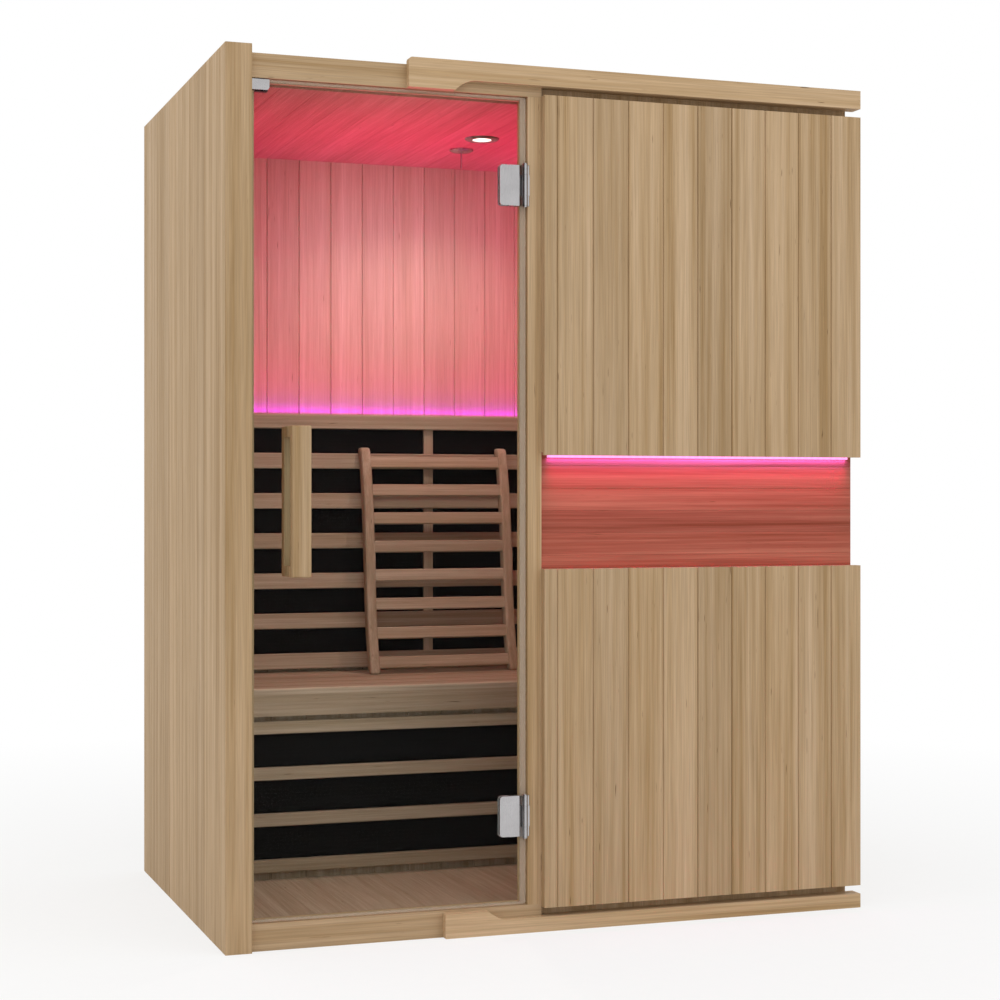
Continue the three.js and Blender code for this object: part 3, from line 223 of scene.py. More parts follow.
def planed_timber(name, run, across, pitch, first, timber, wood, seed):
    """Planed softwood: long soft streaks, a tone for each board, few dark flecks, a low satin sheen."""
    shades, tones, *faces = wood  # each face: an axis, a limit on it, and the shades beyond
    material, tree, surface = new_finish(name)
    place = add_node(tree, "ShaderNodeTexCoord").outputs["Object"]
    axes = add_node(tree, "ShaderNodeSeparateXYZ", {0: place}).outputs

    from_first = {0: axes[across], 1: first}
    from_first = add_node(tree, "ShaderNodeMath", from_first, operation="SUBTRACT").outputs[0]
    in_boards = add_node(tree, "ShaderNodeMath", {0: from_first, 1: pitch}, operation="DIVIDE").outputs[0]
    number = add_node(tree, "ShaderNodeMath", {0: in_boards}, operation="FLOOR").outputs[0]
    seeded = add_node(tree, "ShaderNodeMath", {0: number, 1: seed}, operation="ADD").outputs[0]
    chance = add_node(tree, "ShaderNodeTexWhiteNoise", {"W": seeded}, noise_dimensions="1D").outputs
    apart = {0: chance["Color"], "Scale": BOARD_SHIFT}
    apart = add_node(tree, "ShaderNodeVectorMath", apart, operation="SCALE").outputs[0]

    def grain(width, run_length, detail):
        """Noise drawn out along the board, in another place for each board."""
        scale = [1 / width] * 3
        scale[run] = 1 / run_length
        drawn = {0: place, 1: scale, 2: apart}
        drawn = add_node(tree, "ShaderNodeVectorMath", drawn, operation="MULTIPLY_ADD").outputs[0]
        noise = {"Vector": drawn, "Scale": 1, "Detail": detail, "Roughness": 0.65}
        return add_node(tree, "ShaderNodeTexNoise", noise).outputs[0]

    streak = grain(timber.streak, timber.streak_run, 6)
    band = grain(timber.band, timber.band_run, 2)
    fibre = grain(timber.fibre, timber.fibre_run, 2)
    fleck = grain(timber.fleck, timber.fleck_run, 1)

    both = add_node(tree, "ShaderNodeMath", {0: streak, 1: band}, operation="ADD").outputs[0]
    halved = add_node(tree, "ShaderNodeMath", {0: both, 1: 0.5}, operation="MULTIPLY").outputs[0]

    def ramp(colours):
        """Dark to pale along the streaks."""
        stops = list(zip(GRAIN_STOPS, colours))
        return add_node(tree, "ShaderNodeValToRGB", {0: halved}, stops).outputs[0]

    streaked = ramp(shades)
    for axis, limit, colours in faces:
        beyond = {0: axes[axis], 1: limit}
        beyond = add_node(tree, "ShaderNodeMath", beyond, operation="GREATER_THAN").outputs[0]
        faced = {0: beyond, 6: streaked, 7: ramp(colours)}
        streaked = add_node(tree, "ShaderNodeMix", faced, data_type="RGBA").outputs[2]

    tone = {0: chance["Value"], "To Min": tones[0], "To Max": tones[1]}
    board_tone = add_node(tree, "ShaderNodeMapRange", tone).outputs[0]
    lines = {0: fibre, "From Min": 0.3, "From Max": 0.7, "To Min": 0.86, "To Max": 1.1}
    lines = add_node(tree, "ShaderNodeMapRange", lines).outputs[0]
    shade = add_node(tree, "ShaderNodeMath", {0: board_tone, 1: lines}, operation="MULTIPLY").outputs[0]
    toned = add_node(tree, "ShaderNodeHueSaturation", {"Value": shade, "Color": streaked}).outputs[0]
    spots = {0: fleck, "From Min": 0.74, "From Max": 0.82, "To Max": 0.8}
    spots = add_node(tree, "ShaderNodeMapRange", spots).outputs[0]
    mixed = {0: spots, 6: toned, 7: opaque(timber.fleck_colour)}
    flecked = add_node(tree, "ShaderNodeMix", mixed, data_type="RGBA").outputs[2]

    sheen = {0: fibre, "From Min": 0.3, "From Max": 0.7, "To Min": 0.62, "To Max": 0.46}
    sheen = add_node(tree, "ShaderNodeMapRange", sheen).outputs[0]
    relief = {"Height": fibre, "Strength": 0.5, "Distance": timber.relief}
    bump = add_node(tree, "ShaderNodeBump", relief).outputs[0]
    tree.links.new(flecked, surface.inputs["Base Color"])
    tree.links.new(sheen, surface.inputs["Roughness"])
    tree.links.new(bump, surface.inputs["Normal"])
    surface.inputs["Specular IOR Level"].default_value = 0.08
    return material


def satin_steel(steel):
    """Stainless steel brushed upright: fine lines in the sheen, a slight stain in the colour."""
    material, tree, surface = new_finish("Satin stainless steel")
    place = add_node(tree, "ShaderNodeTexCoord").outputs["Object"]
    brush_width, brush_run = 1.2 * MM, 60 * MM  # the real brush lines are finer than the render shows
    scale = (1 / brush_width, 1 / brush_width, 1 / brush_run)
    drawn = add_node(tree, "ShaderNodeVectorMath", {0: place, 1: scale}, operation="MULTIPLY").outputs[0]
    lines = add_node(tree, "ShaderNodeTexNoise", {"Vector": drawn, "Scale": 1, "Detail": 3}).outputs[0]
    stain = {"Vector": place, "Scale": 1 / (30 * MM), "Detail": 2}
    stain = add_node(tree, "ShaderNodeTexNoise", stain).outputs[0]
    sheen = add_node(tree, "ShaderNodeMapRange", {0: lines, "To Min": 0.16, "To Max": 0.36}).outputs[0]
    stops = [(0.3, scaled(steel, 0.9)), (0.7, steel)]
    tint = add_node(tree, "ShaderNodeValToRGB", {0: stain}, stops).outputs[0]
    bump = {"Height": lines, "Strength": 0.25, "Distance": 0.05 * MM}
    bump = add_node(tree, "ShaderNodeBump", bump).outputs[0]
    tree.links.new(tint, surface.inputs["Base Color"])
    tree.links.new(sheen, surface.inputs["Roughness"])
    tree.links.new(bump, surface.inputs["Normal"])
    surface.inputs["Metallic"].default_value = 1
    return material


def toughened_glass(finishes, painted_reveal, edge):
    """Clear toughened glass: a faint green body, sharp reflections, wiping marks, and painted light: pale
    bands along the hinge side, the top and the bottom that stand in for the lit frame seen through the glass
    edges."""
    material, tree, surface = new_finish("Clear toughened glass")
    place = add_node(tree, "ShaderNodeTexCoord").outputs["Object"]
    wiped = {"Vector": place, "Scale": 1 / (180 * MM), "Detail": 3}
    wiped = add_node(tree, "ShaderNodeTexNoise", wiped).outputs[0]
    gloss = add_node(tree, "ShaderNodeMapRange", {0: wiped, "To Min": 0.0, "To Max": 0.012}).outputs[0]
    stops = [(0.3, scaled(finishes.glass, 0.97)), (0.7, finishes.glass)]
    tint = add_node(tree, "ShaderNodeValToRGB", {0: wiped}, stops).outputs[0]
    tree.links.new(tint, surface.inputs["Base Color"])
    tree.links.new(gloss, surface.inputs["Roughness"])
    surface.inputs["Transmission Weight"].default_value = 1
    surface.inputs["IOR"].default_value = 1.08  # low, as the pane shows almost no reflection of the studio

    # Light passes straight through the pane into the room
    rays = add_node(tree, "ShaderNodeLightPath").outputs
    lighting = {0: rays["Is Shadow Ray"], 1: rays["Is Diffuse Ray"]}
    lighting = add_node(tree, "ShaderNodeMath", lighting, operation="MAXIMUM").outputs[0]
    clear = add_node(tree, "ShaderNodeBsdfTransparent", {"Color": tint}).outputs[0]
    pane = add_node(tree, "ShaderNodeMixShader", {0: lighting, 1: surface.outputs[0], 2: clear}).outputs[0]

    # Painted light: pale bands along the hinge side, the top and the bottom of the pane, for the lit frame
    # seen through its edges
    low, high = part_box("door_glass")
    axes = add_node(tree, "ShaderNodeSeparateXYZ", {0: place}).outputs
    fade, veil = 1 * MM, 0.38  # the soft border of the painted light bands, and how much of the view they hide
    bands = [
        (axes[X], high.x - painted_reveal - fade, high.x - painted_reveal),
        (axes[Z], high.z - edge - fade, high.z - edge),
        (axes[Z], low.z + edge + fade, low.z + edge),
    ]
    veiled = 0.0
    for along, clear_at, pale_at in bands:
        band = {0: along, "From Min": clear_at, "From Max": pale_at, "To Max": veil}
        band = add_node(tree, "ShaderNodeMapRange", band).outputs[0]
        veiled = add_node(tree, "ShaderNodeMath", {0: veiled, 1: band}, operation="MAXIMUM").outputs[0]
    pale = add_node(tree, "ShaderNodeBsdfDiffuse", {"Color": opaque(finishes.glass_painted_edge)}).outputs[0]
    whole = add_node(tree, "ShaderNodeMixShader", {0: veiled, 1: pane, 2: pale}).outputs[0]
    tree.links.new(whole, tree.nodes["Material Output"].inputs["Surface"])
    return material


def carbon_film(finishes):
    """Carbon heater film under a matt skin: near black, with faint printed lines across."""
    material, tree, surface = new_finish("Carbon heater film")
    place = add_node(tree, "ShaderNodeTexCoord").outputs["Object"]
    line_pitch = 9 * MM
    scale = 2 * math.pi / line_pitch / WAVE_FACTOR
    wave = {"Vector": place, "Scale": scale, "Distortion": 0.4, "Detail": 1}
    lines = add_node(tree, "ShaderNodeTexWave", wave, bands_direction="Z").outputs["Fac"]
    dust = {"Vector": place, "Scale": 1 / (25 * MM), "Detail": 4}
    dust = add_node(tree, "ShaderNodeTexNoise", dust).outputs[0]
    stops = [(0.2, finishes.heater), (0.9, finishes.heater_line)]
    tint = add_node(tree, "ShaderNodeValToRGB", {0: lines}, stops).outputs[0]
    sheen = add_node(tree, "ShaderNodeMapRange", {0: dust, "To Min": 0.7, "To Max": 0.9}).outputs[0]
    bump = {"Height": lines, "Strength": 0.2, "Distance": 0.2 * MM}
    bump = add_node(tree, "ShaderNodeBump", bump).outputs[0]
    tree.links.new(tint, surface.inputs["Base Color"])
    tree.links.new(sheen, surface.inputs["Roughness"])
    tree.links.new(bump, surface.inputs["Normal"])
    surface.inputs["Specular IOR Level"].default_value = 0.1
    return material


def strip_diffuser(finishes, fittings):
    """Frosted strip of pink lights: brighter over each light than between them."""
    material, tree, surface = new_finish("Frosted strip diffuser")
    place = add_node(tree, "ShaderNodeTexCoord").outputs["Object"]
    along = add_node(tree, "ShaderNodeSeparateXYZ", {0: place}).outputs[X]
    turns = {0: along, 1: 2 * math.pi / fittings.led_pitch}
    phase = add_node(tree, "ShaderNodeMath", turns, operation="MULTIPLY").outputs[0]
    ripple = add_node(tree, "ShaderNodeMath", {0: phase}, operation="COSINE").outputs[0]
    glow = fittings.strip_glow
    power = {0: ripple, "From Min": -1, "To Min": 0.92 * glow, "To Max": glow}
    power = add_node(tree, "ShaderNodeMapRange", power).outputs[0]
    stops = [(0.0, scaled(finishes.led, 0.95)), (1.0, finishes.led)]
    tint = add_node(tree, "ShaderNodeValToRGB", {0: ripple}, stops).outputs[0]
    tree.links.new(tint, surface.inputs["Base Color"])
    tree.links.new(tint, surface.inputs["Emission Color"])
    tree.links.new(power, surface.inputs["Emission Strength"])
    surface.inputs["Roughness"].default_value = 0.4
    return material


def lamp_glass(finishes, fittings):
    """Frosted lamp glass, lit: brightest in the middle, with a fine frost in its colour."""
    material, tree, surface = new_finish("Frosted lamp glass")
    low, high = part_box("ceiling_light_lens")
    middle, radius = (low + high) / 2, (high.x - low.x) / 2

    place = add_node(tree, "ShaderNodeTexCoord").outputs["Object"]
    reach = {0: place, 1: middle}
    reach = add_node(tree, "ShaderNodeVectorMath", reach, operation="DISTANCE").outputs["Value"]
    glow = fittings.lamp_glow
    power = {0: reach, "From Max": radius, "To Min": glow, "To Max": 0.35 * glow}
    power = add_node(tree, "ShaderNodeMapRange", power).outputs[0]
    frost = {"Vector": place, "Scale": 1 / (2 * MM), "Detail": 2}
    frost = add_node(tree, "ShaderNodeTexNoise", frost).outputs[0]
    stops = [(0.3, scaled(finishes.lamp, 0.93)), (0.7, finishes.lamp)]
    tint = add_node(tree, "ShaderNodeValToRGB", {0: frost}, stops).outputs[0]
    tree.links.new(tint, surface.inputs["Base Color"])
    tree.links.new(tint, surface.inputs["Emission Color"])
    tree.links.new(power, surface.inputs["Emission Strength"])
    surface.inputs["Roughness"].default_value = 0.3
    return material


def pitted(name, shade, grit, sheen, depth):
    """A moulded, sprayed or printed skin: fine pits in the gloss, a slight drift of the colour."""
    material, tree, surface = new_finish(name)
    place = add_node(tree, "ShaderNodeTexCoord").outputs["Object"]
    pits = {"Vector": place, "Scale": 1 / grit, "Detail": 2}
    pits = add_node(tree, "ShaderNodeTexNoise", pits).outputs[0]
    drift = {"Vector": place, "Scale": 1 / (60 * MM), "Detail": 3}
    drift = add_node(tree, "ShaderNodeTexNoise", drift).outputs[0]
    stops = [(0.3, scaled(shade, 0.8)), (0.7, shade)]
    tint = add_node(tree, "ShaderNodeValToRGB", {0: drift}, stops).outputs[0]
    gloss = {0: pits, "To Min": sheen - 0.1, "To Max": sheen + 0.1}
    gloss = add_node(tree, "ShaderNodeMapRange", gloss).outputs[0]
    bump = add_node(tree, "ShaderNodeBump", {"Height": pits, "Strength": 0.3, "Distance": depth}).outputs[0]
    tree.links.new(tint, surface.inputs["Base Color"])
    tree.links.new(gloss, surface.inputs["Roughness"])
    tree.links.new(bump, surface.inputs["Normal"])
    return material


def finish_nodes(nodes, material):
    """Gives CAD nodes one finish."""
    for name in nodes:
        mesh = frame["nodes"][name].data
        mesh.materials.clear()
        mesh.materials.append(material)


def low_corner(node):
    """Lowest corner of a node's box."""
    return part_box(node)[0]


def middle_of(node):
    """Middle of a node's box."""
    low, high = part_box(node)
    return (low + high) / 2


def row_cells(nodes):
    """Pitch of an upright row of pieces, and where the cell of its lowest piece starts."""
    middles = sorted(middle_of(node).z for node in nodes)
    pitch = (middles[-1] - middles[0]) / (len(middles) - 1)
    return pitch, middles[0] - pitch / 2


class SAUNA_OT_timber(Operator):
    """Finish every board, rail, slat and post in planed hemlock, and the niche in red cedar"""

    bl_idname = "sauna.timber"
    bl_label = "Timber"

    def execute(self, context):
        timber = context.scene.sauna_timber
        mixed, even, varied = (0.92, 1.06), (0.97, 1.04), (0.91, 1.13)  # darkest and palest board
        outer = (timber.dark, timber.middle, timber.pale), mixed
        inner = (timber.inner_dark, timber.inner_middle, timber.inner_pale), mixed
        calm = [between(shade, timber.inner_middle, 0.5) for shade in inner[0]], even
        painted_lit_outer = [scaled(shade, 1.11) for shade in outer[0]], even  # painted light: a brighter copy of the outer shades, so that the fascia, the plinth and the recessed hinge jamb look more strongly lit
        cedar = (timber.cedar_dark, timber.cedar_middle, timber.cedar_pale), varied
        painted_red_ceiling = [between(*pair, 0.4) for pair in zip(calm[0], cedar[0])], even  # painted light: a red tint mixed in from the cedar, which adds to the crimson lamp light on the ceiling
        behind = Y, middle_of("back_wall").y, outer[0]
        on_top = Z, middle_of("roof_panel").z, outer[0]

        # Where the first board joint of each panel lies
        board = timber.board_pitch
        single = 1.0  # a pitch that leaves a piece without joints in one tone
        room = low_corner("back_wall").x + timber.room_first
        left = low_corner("left_wall").y + timber.wall_first
        right = low_corner("right_wall").y + timber.wall_first
        facade = low_corner("upper_cladding").x + timber.facade_first
        niche = low_corner("niche_boards").z + timber.niche_first
        seat = low_corner("bench_seat").y + board
        front = low_corner("front_wall").x + timber.room_first

        # Each finish: name, nodes, axis along the grain, axis across it, board pitch, first joint, wood
        plan = [
            ("Hemlock facade boards", ["upper_cladding", "lower_cladding"], Z, X, board, facade, outer),
            ("Hemlock left wall boards", ["left_wall"], Z, Y, board, left, outer),
            ("Hemlock right wall boards", ["right_wall"], Z, Y, board, right, outer),
            # The fascia, the plinth and the hinge jamb take painted light: the brighter copy of the outer
            # shades
            ("Hemlock fascia and plinth", ["roof_fascia", "base_plinth"], X, Z, single, -single / 2, painted_lit_outer),
            ("Hemlock header and sill", ["door_header", "door_sill"], X, Z, single, -single / 2, outer),
            ("Hemlock hinge jamb", ["hinge_jamb"], Z, X, single, -single, painted_lit_outer),
            ("Hemlock posts", UPRIGHT_TRIM, Z, X, single, -single, outer),
            ("Red cedar niche boards", ["niche_boards"], X, Z, timber.niche_pitch, niche, cedar),
            ("Hemlock back wall boards", ["back_wall"], Z, X, board, room, (*calm, behind)),
            ("Hemlock bench boards", ["bench_panel"], Z, X, board, room, inner),
            ("Hemlock front wall boards", ["front_wall"], Z, X, board, front, outer),
            ("Hemlock floor boards", ["floor_panel"], Y, X, board, room, calm),
            # The ceiling's red tint is painted light
            ("Hemlock ceiling boards", ["roof_panel"], Y, X, board, room, (*painted_red_ceiling, on_top)),
            ("Hemlock seat boards", ["bench_seat"], X, Y, board, seat, inner),
            ("Hemlock rails", INNER_ACROSS, X, Z, single, -single / 2, inner),
            ("Hemlock uprights", INNER_UPRIGHT, Z, X, single, -single, inner),
            ("Hemlock bench slats", BENCH_SLATS, X, Z, *row_cells(BENCH_SLATS), inner),
            ("Hemlock back slats", BACK_SLATS, X, Z, *row_cells(BACK_SLATS), inner),
            ("Hemlock backrest slats", REST_SLATS, X, Z, *row_cells(REST_SLATS), inner),
        ]
        for seed, (name, nodes, run, across, pitch, first, wood) in enumerate(plan):
            planed = planed_timber(name, run, across, pitch, first, timber, wood, SEED_STEP * seed)
            finish_nodes(nodes, planed)
        return {"FINISHED"}


class SAUNA_OT_metal_and_glass(Operator):
    """Finish the hinges, the strike plate, the ceiling fittings and the door glass"""

    bl_idname = "sauna.metal_and_glass"
    bl_label = "Metal and glass"

    def execute(self, context):
        finishes, fittings = context.scene.sauna_finishes, context.scene.sauna_fittings
        steel_nodes = [*HINGE_STEEL, "strike_plate", "ceiling_light_ring", "ceiling_sensor"]
        finish_nodes(steel_nodes, satin_steel(finishes.steel))
        glass = toughened_glass(finishes, fittings.glass_painted_reveal, fittings.glass_painted_edge)
        finish_nodes(["door_glass"], glass)
        return {"FINISHED"}


class SAUNA_OT_heat_and_light(Operator):
    """Finish the heaters, the strip lights and the ceiling lamp"""

    bl_idname = "sauna.heat_and_light"
    bl_label = "Heat and light"

    def execute(self, context):
        finishes, fittings = context.scene.sauna_finishes, context.scene.sauna_fittings
        finish_nodes(["bench_heater", "back_heater"], carbon_film(finishes))
        finish_nodes(["niche_light_strip", "back_light_strip"], strip_diffuser(finishes, fittings))
        finish_nodes(["ceiling_light_lens"], lamp_glass(finishes, fittings))
        return {"FINISHED"}


class SAUNA_OT_cases(Operator):
    """Finish the control panel, the magnet catch and the power unit"""

    bl_idname = "sauna.cases"
    bl_label = "Cases"

    def execute(self, context):
        finishes = context.scene.sauna_finishes
        moulded = pitted("Moulded black ABS", finishes.plastic, 0.8 * MM, 0.42, 0.05 * MM)
        finish_nodes(["control_panel", "magnet_catch"], moulded)
        coated = pitted("Grey powder coat", finishes.paint, 1.4 * MM, 0.5, 0.1 * MM)
        finish_nodes(["power_unit"], coated)
        return {"FINISHED"}


def turned_part(name, profile, steps, facing):
    """A mesh object turned from a profile of (radius at an angle, height) rings, standing along facing."""
    shape = bmesh.new()
    rings = []
    for radius_at, height in profile:
        angles = [2 * math.pi * i / steps for i in range(steps)]
        ring = [(radius_at(a) * math.cos(a), radius_at(a) * math.sin(a), height) for a in angles]
        rings.append([shape.verts.new(point) for point in ring])
    for lower, upper in zip(rings, rings[1:]):
        for i in range(steps):
            j = (i + 1) % steps
            shape.faces.new((lower[i], lower[j], upper[j], upper[i]))
    shape.faces.new(list(reversed(rings[0])))
    shape.faces.new(rings[-1])
    bmesh.ops.recalc_face_normals(shape, faces=shape.faces)
    mesh = bpy.data.meshes.new(name)
    shape.to_mesh(mesh)
    shape.free()
    mesh.transform(Vector((0, 0, 1)).rotation_difference(Vector(facing)).to_matrix().to_4x4())
    return bpy.data.objects.new(name, mesh)


def screw(name, head, rise, facing):
    """A low screw head with a hexagon socket, its seat a little below its origin."""
    radius, socket = head / 2, 0.23 * head

    def round_at(share):
        return lambda angle: share * radius

    def hexagon(angle):
        return socket / math.cos(angle % (math.pi / 3) - math.pi / 6)

    profile = [
        (round_at(1.0), -0.3 * rise),
        (round_at(1.0), 0.35 * rise),
        (round_at(0.86), 0.85 * rise),
        (round_at(0.7), rise),
        (hexagon, rise),
        (hexagon, 0.2 * rise),
    ]
    return turned_part(name, profile, 24, facing)


def louvre(name, long, wide, rise):
    """A pressed louvre: a long half-round hood with rounded ends."""
    shape = bmesh.new()
    bmesh.ops.create_uvsphere(shape, u_segments=16, v_segments=8, radius=1)
    stretch = (long - wide) / wide
    for vertex in shape.verts:
        vertex.co.y += math.copysign(stretch, vertex.co.y) if abs(vertex.co.y) > 1e-4 else 0
    bmesh.ops.scale(shape, vec=(wide / 2, wide / 2, rise), verts=shape.verts)
    mesh = bpy.data.meshes.new(name)
    shape.to_mesh(mesh)
    shape.free()
    return bpy.data.objects.new(name, mesh)


def key_ring(name, size, facing):
    """A printed ring round a touch key, open in the middle."""
    radius, line, rise = size / 2, 0.12 * size, 0.3 * MM

    def round_at(reach):
        return lambda angle: reach

    profile = [
        (round_at(radius), -rise),
        (round_at(radius), rise),
        (round_at(radius - line), rise),
        (round_at(radius - line), -rise),
    ]
    return turned_part(name, profile, 32, facing)


def display(name, wide, high, rise, facing):
    """A display's glass: a rounded rectangle with a sloping rim."""
    roundness = 8

    def rounded(share):
        def radius_at(angle):
            across, up = abs(math.cos(angle)) * 2 / wide, abs(math.sin(angle)) * 2 / high
            return share * (across**roundness + up**roundness) ** (-1 / roundness)

        return radius_at

    profile = [(rounded(1.0), -rise), (rounded(1.0), 0.3 * rise), (rounded(0.98), rise)]
    return turned_part(name, profile, 64, facing)


def grid_tree():
    """Geometry nodes that set copies of one part out in rows and columns."""
    tree = bpy.data.node_groups.new("Parts in rows", "GeometryNodeTree")
    sockets = {}
    for name, kind in [
        ("Part", "NodeSocketObject"),
        ("Finish", "NodeSocketMaterial"),
        ("Start", "NodeSocketVector"),
        ("Columns", "NodeSocketInt"),
        ("Column step", "NodeSocketVector"),
        ("Rows", "NodeSocketInt"),
        ("Row step", "NodeSocketVector"),
    ]:
        sockets[name] = tree.interface.new_socket(name, in_out="INPUT", socket_type=kind).identifier
    tree.interface.new_socket("Parts", in_out="OUTPUT", socket_type="NodeSocketGeometry")
    given = add_node(tree, "NodeGroupInput").outputs
    column = {"Count": given["Columns"], "Offset": given["Column step"]}
    columns = add_node(tree, "GeometryNodeMeshLine", column, mode="OFFSET").outputs[0]
    row = {"Count": given["Rows"], "Start Location": given["Start"], "Offset": given["Row step"]}
    rows = add_node(tree, "GeometryNodeMeshLine", row, mode="OFFSET").outputs[0]
    lines = add_node(tree, "GeometryNodeInstanceOnPoints", {"Points": rows, "Instance": columns}).outputs[0]
    places = add_node(tree, "GeometryNodeRealizeInstances", {0: lines}).outputs[0]
    part = add_node(tree, "GeometryNodeObjectInfo", {"Object": given["Part"]}).outputs["Geometry"]
    copies = add_node(tree, "GeometryNodeInstanceOnPoints", {"Points": places, "Instance": part}).outputs[0]
    whole = add_node(tree, "GeometryNodeRealizeInstances", {0: copies}).outputs[0]
    painted = {"Geometry": whole, "Material": given["Finish"]}
    painted = add_node(tree, "GeometryNodeSetMaterial", painted).outputs[0]
    add_node(tree, "NodeGroupOutput", {0: painted})
    return tree, sockets


def set_out(name, body, slot, **given):
    """Runs the grid nodes on one part and keeps the copies as one mesh that rides on a body."""
    values = {"columns": 1, "column_step": (0, 0, 0), "rows": 1, "row_step": (0, 0, 0), **given}
    tree, sockets = grid_tree()
    carrier = bpy.data.objects.new(name + "_carrier", bpy.data.meshes.new(name + "_carrier"))
    bpy.context.scene.collection.objects.link(carrier)
    rows = carrier.modifiers.new("Parts in rows", "NODES")
    rows.node_group = tree
    for label, value in values.items():
        rows[sockets[label.capitalize().replace("_", " ")]] = value
    evaluated = carrier.evaluated_get(bpy.context.evaluated_depsgraph_get())
    mesh = bpy.data.meshes.new_from_object(evaluated)
    carrier.modifiers.remove(rows)
    bpy.data.objects.remove(carrier)
    bpy.data.objects.remove(values["part"])
    if not mesh.polygons:
        raise RuntimeError(f"{name} has no faces")
    keep_piece(name, mesh, body)


def keep_piece(name, mesh, body):
    """Makes a mesh a piece that rides on a body."""
    mesh.name = name
    piece = bpy.data.objects.new(name, mesh)
    bpy.context.scene.collection.objects.link(piece)
    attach(piece, body)


class SAUNA_OT_hinge_screws(Operator):
    """Set the socket screws of the inner hinge clamps"""

    bl_idname = "sauna.hinge_screws"
    bl_label = "Hinge screws"

    def execute(self, context):
        fittings = context.scene.sauna_fittings
        low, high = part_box("lower_hinge_inner_clamp")
        above = low_corner("upper_hinge_inner_clamp").z - low.z
        start = Vector(((low.x + high.x) / 2, high.y, (low.z + high.z - fittings.screw_gap) / 2))
        set_out(
            "hinge_screws",
            "door",
            "satin_steel",
            part=screw("hinge_screw", fittings.screw_head, fittings.screw_rise, (0, 1, 0)),
            finish=bpy.data.materials["Satin stainless steel"],
            start=start,
            columns=2,
            column_step=(0, 0, fittings.screw_gap),
            rows=2,
            row_step=(0, 0, above),
        )
        return {"FINISHED"}


class SAUNA_OT_power_unit_fittings(Operator):
    """Set the louvres and the flange screws of the power unit"""

    bl_idname = "sauna.power_unit_fittings"
    bl_label = "Power unit fittings"

    def execute(self, context):
        fittings = context.scene.sauna_fittings
        coated = bpy.data.materials["Grey powder coat"]
        low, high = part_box("power_unit")
        wide = high.x - low.x
        inset = fittings.flange_screw_inset
        middle = low.y + inset + fittings.flange_screw_gap / 2
        step = 2 * fittings.louvre_width
        reach = (fittings.louvre_count - 1) * step
        set_out(
            "power_unit_louvres",
            "cabin",
            "painted_steel",
            part=louvre("louvre", fittings.louvre_length, fittings.louvre_width, fittings.louvre_rise),
            finish=coated,
            start=((low.x + high.x - reach) / 2, middle, high.z),
            columns=fittings.louvre_count,
            column_step=(step, 0, 0),
        )
        set_out(
            "power_unit_screws",
            "cabin",
            "satin_steel",
            part=screw("flange_screw", fittings.screw_head, fittings.screw_rise, (0, 0, 1)),
            finish=bpy.data.materials["Satin stainless steel"],
            start=(low.x + inset, low.y + inset, low.z + fittings.flange),
            columns=2,
            column_step=(wide - 2 * inset, 0, 0),
            rows=2,
            row_step=(0, fittings.flange_screw_gap, 0),
        )
        return {"FINISHED"}


class SAUNA_OT_control_face(Operator):
    """Set the display and the touch keys on the control panel"""

    bl_idname = "sauna.control_face"
    bl_label = "Control face"

    def execute(self, context):
        finishes, fittings = context.scene.sauna_finishes, context.scene.sauna_fittings
        low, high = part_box("control_panel")
        middle = (low.x + high.x) / 2
        step = fittings.display_width / fittings.key_count
        display_level, key_level = (low.z + share * (high.z - low.z) for share in (0.64, 0.25))
        printed = pitted("Pale screen print", finishes.key, 0.6 * MM, 0.5, 0.02 * MM)
        screen = pitted("Dark display glass", finishes.display, 3 * MM, 0.15, 0.005 * MM)
        size = fittings.display_width, fittings.display_height, fittings.display_rise
        set_out(
            "control_display",
            "cabin",
            "black_plastic",
            part=display("display", *size, (0, 1, 0)),
            finish=screen,
            start=(middle, high.y, display_level),
        )
        set_out(
            "control_keys",
            "cabin",
            "black_plastic",
            part=key_ring("key_ring", fittings.key_size, (0, 1, 0)),
            finish=printed,
            start=(middle - step * (fittings.key_count - 1) / 2, high.y, key_level),
            columns=fittings.key_count,
            column_step=(step, 0, 0),
        )
        return {"FINISHED"}


def seen_directly(tree):
    """1 for rays that show the studio itself: from the camera, off a mirror or through glass."""
    rays = add_node(tree, "ShaderNodeLightPath").outputs
    seen = {0: rays["Is Camera Ray"], 1: rays["Is Glossy Ray"]}
    seen = add_node(tree, "ShaderNodeMath", seen, operation="MAXIMUM").outputs[0]
    seen = {0: seen, 1: rays["Is Transmission Ray"]}
    return add_node(tree, "ShaderNodeMath", seen, operation="MAXIMUM").outputs[0]


def add_lamp(name, size, place, facing, shade, watts, spread=180.0):
    """A rectangular lamp of (long, deep) that faces a direction and spreads its light over an angle."""
    lamp = bpy.data.lights.new(name, "AREA")
    lamp.shape = "RECTANGLE"
    lamp.size, lamp.size_y = size
    lamp.energy = watts
    lamp.color = shade
    lamp.spread = math.radians(spread)
    holder = bpy.data.objects.new(name, lamp)
    holder.location = place
    holder.rotation_euler = Vector(facing).to_track_quat("-Z", "Y").to_euler()
    holder.visible_camera = False
    holder.visible_transmission = False
    holder.visible_glossy = False
    bpy.context.scene.collection.objects.link(holder)
    return holder


